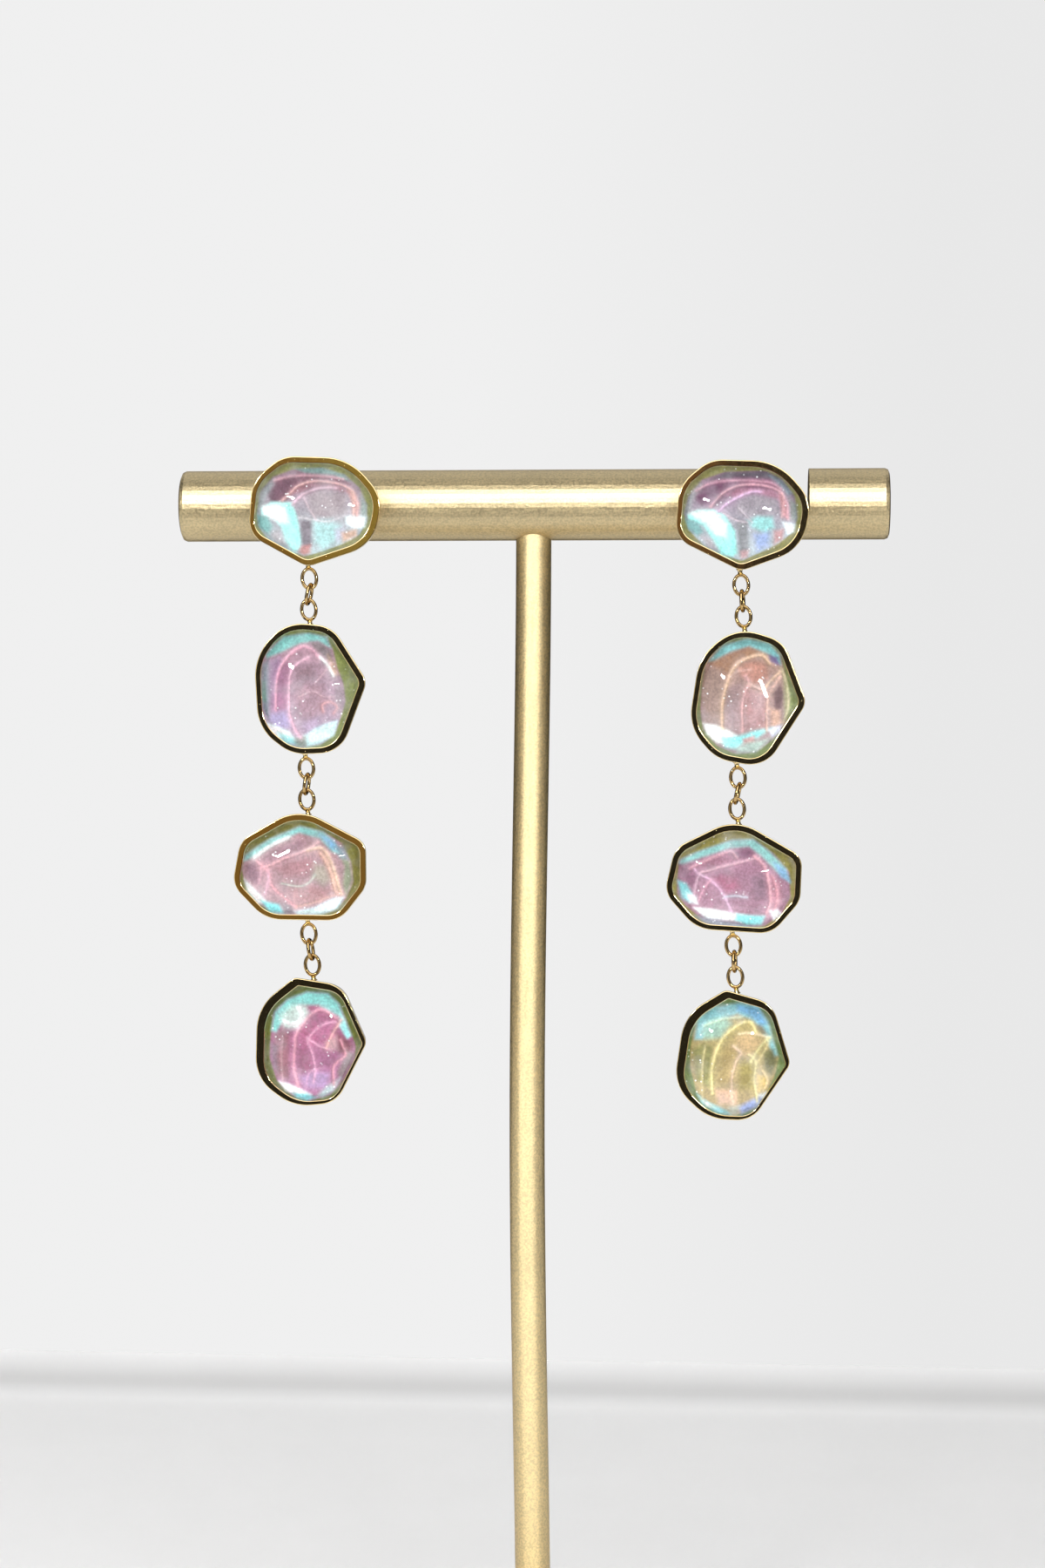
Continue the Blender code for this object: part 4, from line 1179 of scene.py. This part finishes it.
def foil_colours(places, foil):
    """The colour of each place on the foil, with its painted highlights and painted wall reflection, and how
    far a ridge raises it.
    """
    low = min(point[1] for point in foil["body"])
    high = max(point[1] for point in foil["body"])
    share = smooth((places[:, 1] - low) / (high - low))[:, None]
    upper, lower = (numpy.array(linear(colour)) for colour in foil["field"])
    field = upper * (1.0 - share) + lower * share
    # Outside the body the foil takes the painted reflection of the bezel's gold wall.
    cover = area_cover(places, foil["body"], FIELD_SOFTNESS)[:, None]
    colours = numpy.array(linear(foil["wall_reflection"])) * (1.0 - cover) + field * cover
    rise = numpy.zeros(len(places))
    for colour, softness, strength, points in foil["areas"]:
        cover = (area_cover(places, points, softness * AREA_SOFTENING) * strength)[:, None]
        colours = colours * (1.0 - cover) + numpy.array(linear(colour)) * cover
    for colour, width, strength, points in foil["lines"]:
        core = line_cover(places, points, width)
        glow = line_cover(places, points, width * GLOW_WIDTH)
        cover = ((core * LINE_STRENGTH + glow * GLOW_STRENGTH) * strength)[:, None]
        pale = numpy.array(linear(colour)) * (1.0 - LINE_PALENESS) + LINE_PALENESS
        colours = colours * (1.0 - cover) + pale * cover
        rise = numpy.maximum(rise, core * strength)
    light = (colours @ numpy.array(LUMINANCE))[:, None]
    colours = colours * (light / light.mean()) ** FOIL_CONTRAST
    return numpy.minimum(colours * numpy.array(FOIL_TINT), 1.0), rise


def foil_depth(share):
    """The foil's height above the bezel's back, at a share of the way from its middle to its edge."""
    funnel = FOIL_FUNNEL * float(smooth(numpy.array((1.0 - share) / FOIL_FUNNEL_SHARE)))
    return FOIL_EDGE - funnel - FOIL_DISH * (1.0 - share)


def stone_outline(station):
    """The stone's outline within its rim, and its centre."""
    outline = station_outline(station, RIM_WIDTH + GLASS_GAP, station["stone_shift"])
    outline = even_outline(outline, FOIL_TURN_STEPS)
    return outline, sum(outline, Vector((0.0, 0.0))) / len(outline)


def scaled_ring(outline, centre, share, depth, placing):
    """The outline drawn in towards its centre and set at a depth."""
    flats = [centre.lerp(point, share) for point in outline]
    return [placing @ Vector((flat.x, -depth, flat.y)) for flat in flats]


def build_foil(side, number, station, placing, material):
    """A dished sheet under the glass, with a raised ridge along each line."""
    outline, centre = stone_outline(station)
    points = []
    for ring in range(FOIL_RINGS):
        share = 1.0 - ring / FOIL_RINGS
        points += scaled_ring(outline, centre, share, foil_depth(share), placing)
    points.append(placing @ Vector((centre.x, -foil_depth(0.0), centre.y)))
    middle = photo_place([points[-1]])[0]
    places = middle + (photo_place(points) - middle) * LENS_GAIN
    colours, rise = foil_colours(places, FOILS[side, number])
    body = bmesh.new()
    made = []
    for point, lift in zip(points, rise):
        made.append(body.verts.new(point + Vector((0.0, -RIDGE_RISE * float(lift), 0.0))))
    rings = [made[start:start + FOIL_TURN_STEPS] for start in range(0, len(made) - 1, FOIL_TURN_STEPS)]
    for outer, inner in zip(rings, rings[1:]):
        join_rings(body, outer, inner)
    for step, point in enumerate(rings[-1]):
        body.faces.new((point, rings[-1][(step + 1) % FOIL_TURN_STEPS], made[-1]))
    outer = rings[0]
    for share in BACK_SHARES:
        ring = scaled_ring(outline, centre, share, foil_depth(share) - FOIL_THICKNESS, placing)
        inner = [body.verts.new(point) for point in ring]
        join_rings(body, outer, inner)
        outer = inner
    body.faces.new(outer)
    name = f"foil_{side}_{number}"
    piece = finish_mesh(body, name, material, smooth_angle=60.0)
    layer = piece.data.color_attributes.new("foil", "FLOAT_COLOR", "POINT")
    # The foil's back faces take the colour of the painted wall reflection.
    wall_reflection = linear(FOILS[side, number]["wall_reflection"])
    flat = []
    for index in range(len(piece.data.vertices)):
        colour = colours[index] if index < len(colours) else wall_reflection
        flat += [*colour, 1.0]
    layer.data.foreach_set("color", flat)
    return piece


def build_glass(side, number, station, placing, material):
    """A clear domed stone whose back lies within the foil."""
    outline, centre = stone_outline(station)
    rings = [(share, foil_depth(share) - FOIL_THICKNESS / 2) for share in reversed(BACK_SHARES)]
    for ring in range(DOME_RINGS + 1):
        share = max(math.cos(math.pi / 2 * ring / DOME_RINGS), DOME_CROWN_SHARE)
        rings.append((share, GLASS_EDGE + DOME_RISE * (1.0 - share ** 2) ** DOME_POWER))
    body = bmesh.new()
    add_loft(body, [scaled_ring(outline, centre, share, depth, placing) for share, depth in rings])
    name = f"stone_{side}_{number}"
    piece = finish_mesh(body, f"{name}_glass", material, smooth_angle=50.0)
    piece.visible_shadow = False
    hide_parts(name)
    return piece


def build_earring(side, earring, gold, chain_gold, glass, foil):
    pieces = []
    for number, (station, place) in enumerate(zip(STATIONS, place_stations(earring)), 1):
        if side == "left" and number == 1:
            station = dict(station, corners=(*station["corners"][:2], LEFT_TIP, *station["corners"][3:]))
        pieces.append(build_bezel(side, number, station, place, earring, gold, chain_gold))
        pieces.append(build_foil(side, number, station, place["placing"], foil))
        pieces.append(build_glass(side, number, station, place["placing"], glass))
        if number < len(STATIONS):
            pieces.append(build_middle_link(side, number, place, earring["neck"], chain_gold))
    return pieces


# Stage

def build_backdrop():
    """A pale floor with a painted band of soft shade and painted shade towards the right, lifting in a low
    lip behind the stand.
    """
    material, tree, shader = new_material("backdrop_paper")
    place = add_node(tree, "ShaderNodeTexCoord").outputs["Object"]
    grain = grey_ramp(tree, noise(tree, place, scale=40.0, detail=4.0), (0.3, 0.98), (0.7, 1.0))
    parts = add_node(tree, "ShaderNodeSeparateXYZ")
    tree.links.new(place, parts.inputs[0])
    run = calculate(tree, "ADD", parts.outputs["Y"], parts.outputs["Z"])
    depth = calculate(tree, "MULTIPLY", run, FLOOR_DEPTH_SCALE)
    across = calculate(tree, "MULTIPLY_ADD", parts.outputs["X"], FLOOR_ACROSS_SCALE, RAMP_MIDDLE)
    # Painted shade: a dark band where the floor turns up, and the floor darker towards the right.
    depth_shade = grey_ramp(tree, depth, *FLOOR_DEPTH_SHADE_GREYS)
    shaded = multiply(tree, depth_shade, grey_ramp(tree, across, *FLOOR_ACROSS_SHADE_GREYS))
    tree.links.new(multiply(tree, shaded, grain), shader.inputs["Base Color"])
    shader.inputs["Roughness"].default_value = 0.9
    profile = [(BACKDROP_FRONT, 0.0), (BACKDROP_BEND_START, 0.0)]
    for step in range(1, BACKDROP_BEND_STEPS + 1):
        angle = BACKDROP_LIP_ANGLE * step / BACKDROP_BEND_STEPS
        rise = BACKDROP_BEND_RADIUS * (1.0 - math.cos(angle))
        profile.append((BACKDROP_BEND_START + BACKDROP_BEND_RADIUS * math.sin(angle), rise))
    body = bmesh.new()
    left = [body.verts.new((-BACKDROP_HALF_WIDTH, y, z)) for y, z in profile]
    right = [body.verts.new((BACKDROP_HALF_WIDTH, y, z)) for y, z in profile]
    for index in range(len(profile) - 1):
        body.faces.new((left[index], left[index + 1], right[index + 1], right[index]))
    piece = finish_mesh(body, "backdrop", material, smooth_angle=60.0)
    piece.rotation_euler.z = BACKDROP_TURN
    return piece


def add_light(light, azimuth, elevation, distance):
    """Stands a light at an azimuth from the camera's side and a height above the target."""
    a = math.radians(azimuth)
    e = math.radians(elevation)
    item = bpy.data.objects.new(light.name, light)
    offset = Vector((math.sin(a) * math.cos(e), -math.cos(a) * math.cos(e), math.sin(e))) * distance
    item.location = LIGHT_TARGET + offset
    item.rotation_euler = (LIGHT_TARGET - item.location).to_track_quat("-Z", "Y").to_euler()
    bpy.context.scene.collection.objects.link(item)
    return item


def add_area_light(name, azimuth, elevation, width, height, power, colour=(1.0, 1.0, 1.0)):
    light = bpy.data.lights.new(name, "AREA")
    light.shape = "RECTANGLE"
    light.size = width
    light.size_y = height
    light.energy = power
    light.color = colour
    return add_light(light, azimuth, elevation, SOFTBOX_DISTANCE)


def add_lamp(name, azimuth, elevation):
    """A small lamp, which the stones mirror as a white dot."""
    light = bpy.data.lights.new(name, "POINT")
    light.energy = LAMP_POWER
    light.shadow_soft_size = LAMP_RADIUS
    return add_light(light, azimuth, elevation, LAMP_DISTANCE)


def choose_receivers(light, pieces, state):
    """Lets a light reach only some pieces, or all but those."""
    receivers = bpy.data.collections.new(f"{light.name}_receivers")
    for piece in pieces:
        receivers.objects.link(piece)
    for member in receivers.collection_objects:
        member.light_linking.link_state = state
    light.light_linking.receiver_collection = receivers


def build_lights(pieces, floor):
    """Softboxes and cards for chosen pieces, fills for all, and small lamps."""
    named = {piece.name: piece for piece in pieces}
    glasses = [piece for name, piece in named.items() if name.endswith("_glass")]
    backs = [piece for name, piece in named.items() if name.endswith("_shell")]
    backs += [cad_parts["ear_nut_left"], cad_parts["ear_nut_right"]]
    first_rims = [named["bezel_left_1_shell"], named["bezel_left_3_shell"]]
    post = [named["stand_post_tube"]]
    bar = [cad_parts["stand_bar"]]
    base = [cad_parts["stand_base"]]
    for name, azimuth, elevation, width, height, power, receivers, state in (
        ("key_softbox", 0.0, 38.0, 1.1, 0.78, 5.9, glasses + post + bar, "EXCLUDE"),
        ("left_softbox", -40.0, 2.0, 0.26, 0.8, 0.85, glasses, "EXCLUDE"),
        ("right_softbox", 36.0, 2.0, 0.2, 0.8, 0.5, glasses, "EXCLUDE"),
        ("bar_key", 0.0, 28.5, 1.1, 0.6, 9.8, bar, "INCLUDE"),
        ("bar_back", 180.0, 65.0, 1.2, 1.2, 3.2, bar, "INCLUDE"),
        ("base_card", 0.0, 90.0, 2.6, 2.6, 16.0, base, "INCLUDE"),
        ("floor_card", 0.0, 90.0, 1.2, 1.2, 3.9, [floor], "INCLUDE"),
        ("post_card", 2.0, 0.0, 2.2, 0.9, 7.6, post, "INCLUDE"),
        ("back_card", 180.0, 0.0, 1.8, 1.8, 5.0, backs, "INCLUDE"),
    ):
        softbox = add_area_light(name, azimuth, elevation, width, height, power)
        choose_receivers(softbox, receivers, state)
    for name, azimuth, width, power, colour, receivers in (
        ("brown_card", -8.9, 0.2, 0.056, (1.0, 0.6, 0.14), first_rims),
        ("olive_card", -6.0, 0.08, 0.012, (0.75, 1.0, 0.35), first_rims[:1]),
        ("red_brown_card", -1.2, 0.09, 0.02, (1.0, 0.5, 0.18), [named["bezel_right_1_shell"]]),
    ):
        card = add_area_light(name, azimuth, 0.0, width, CARD_HEIGHT, power, colour)
        choose_receivers(card, receivers, "INCLUDE")
    for name, elevation, power in (("front_fill", 12.0, 7.6), ("top_fill", 75.0, 5.5)):
        fill = add_area_light(name, 0.0, elevation, FILL_SIZE, FILL_SIZE, power)
        fill.visible_glossy = False
    for name, azimuth, elevation in (
        ("left_lamp_1", -23.0, 14.5),
        ("left_lamp_2", -20.0, 13.5),
        ("right_lamp_1", 16.0, 9.0),
        ("right_lamp_2", 19.0, 7.5),
    ):
        add_lamp(name, azimuth, elevation)


def build_world():
    """A dim room that only the camera sees as pale paper, with painted shade darker towards the right."""
    world = bpy.data.worlds.new("studio")
    world.use_nodes = True
    tree = world.node_tree
    room = tree.nodes["Background"]
    room.inputs["Color"].default_value = (*ROOM_COLOUR, 1.0)
    room.inputs["Strength"].default_value = ROOM_STRENGTH
    toward = add_node(tree, "ShaderNodeSeparateXYZ")
    tree.links.new(add_node(tree, "ShaderNodeTexCoord").outputs["Generated"], toward.inputs[0])
    across = calculate(tree, "MULTIPLY_ADD", toward.outputs["X"], PAPER_ACROSS_SCALE, RAMP_MIDDLE)
    paper = add_node(tree, "ShaderNodeBackground")
    # Painted shade: the paper darker towards the right.
    tree.links.new(grey_ramp(tree, across, *PAPER_ACROSS_SHADE_GREYS), paper.inputs["Color"])
    mixed = add_node(tree, "ShaderNodeMixShader")
    tree.links.new(add_node(tree, "ShaderNodeLightPath").outputs["Is Camera Ray"], mixed.inputs[0])
    tree.links.new(room.outputs[0], mixed.inputs[1])
    tree.links.new(paper.outputs[0], mixed.inputs[2])
    tree.links.new(mixed.outputs[0], tree.nodes["World Output"].inputs["Surface"])
    bpy.context.scene.world = world


def build_camera():
    data = bpy.data.cameras.new("photo_camera")
    data.sensor_width = SENSOR
    data.sensor_fit = "AUTO"
    data.lens = FOCAL_PIXELS / PHOTO_HEIGHT * SENSOR
    data.clip_start = CLIP_START
    camera = bpy.data.objects.new("photo_camera", data)
    camera.location = CAMERA_PLACE
    camera.rotation_euler = (math.pi / 2 + CAMERA_PITCH, 0.0, CAMERA_YAW)
    bpy.context.scene.collection.objects.link(camera)
    bpy.context.scene.camera = camera


def post_centre(share):
    """The middle of the bowed post, at a share of its height."""
    bow = POST_BOW * math.sin(math.pi * share) ** 2
    return Vector((-bow, 0.0, POST_BOTTOM + (POST_TOP - POST_BOTTOM) * share))


def build_post(material):
    """The stand's round post, finer than the one in the part."""
    body = bmesh.new()
    centres = [post_centre(step / POST_STEPS) for step in range(POST_STEPS + 1)]
    add_tube(body, centres, [POST_DIAMETER / 2] * len(centres), POST_SIDES)
    piece = finish_mesh(body, "stand_post_tube", material)
    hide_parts("stand_post")
    return piece


def dress(name, material):
    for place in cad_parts[name].material_slots:
        place.material = material


def main():
    view = bpy.context.scene.view_settings
    view.view_transform = "Standard"
    view.look = "None"
    gold = polished_gold("polished_gold", *EARRING_GOLD)
    # The chain's gold is darkened as painted shade.
    chain_gold = polished_gold("chain_gold", *SHADED_CHAIN_GOLD)
    glass = clear_glass()
    foil = iridescent_foil()
    dress("stand_base", stand_gold("stand_gold_base", *BASE_GOLD))
    dress("stand_bar", stand_gold("stand_gold_bar", *BAR_GOLD))
    pieces = [build_post(stand_gold("stand_gold_post", *POST_GOLD))]
    for side, earring in EARRINGS.items():
        pieces += build_earring(side, earring, gold, chain_gold, glass, foil)
        dress(f"ear_nut_{side}", gold)
    for piece in pieces:
        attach(piece, "root")
    floor = build_backdrop()
    build_lights(pieces, floor)
    build_world()
    build_camera()


main()
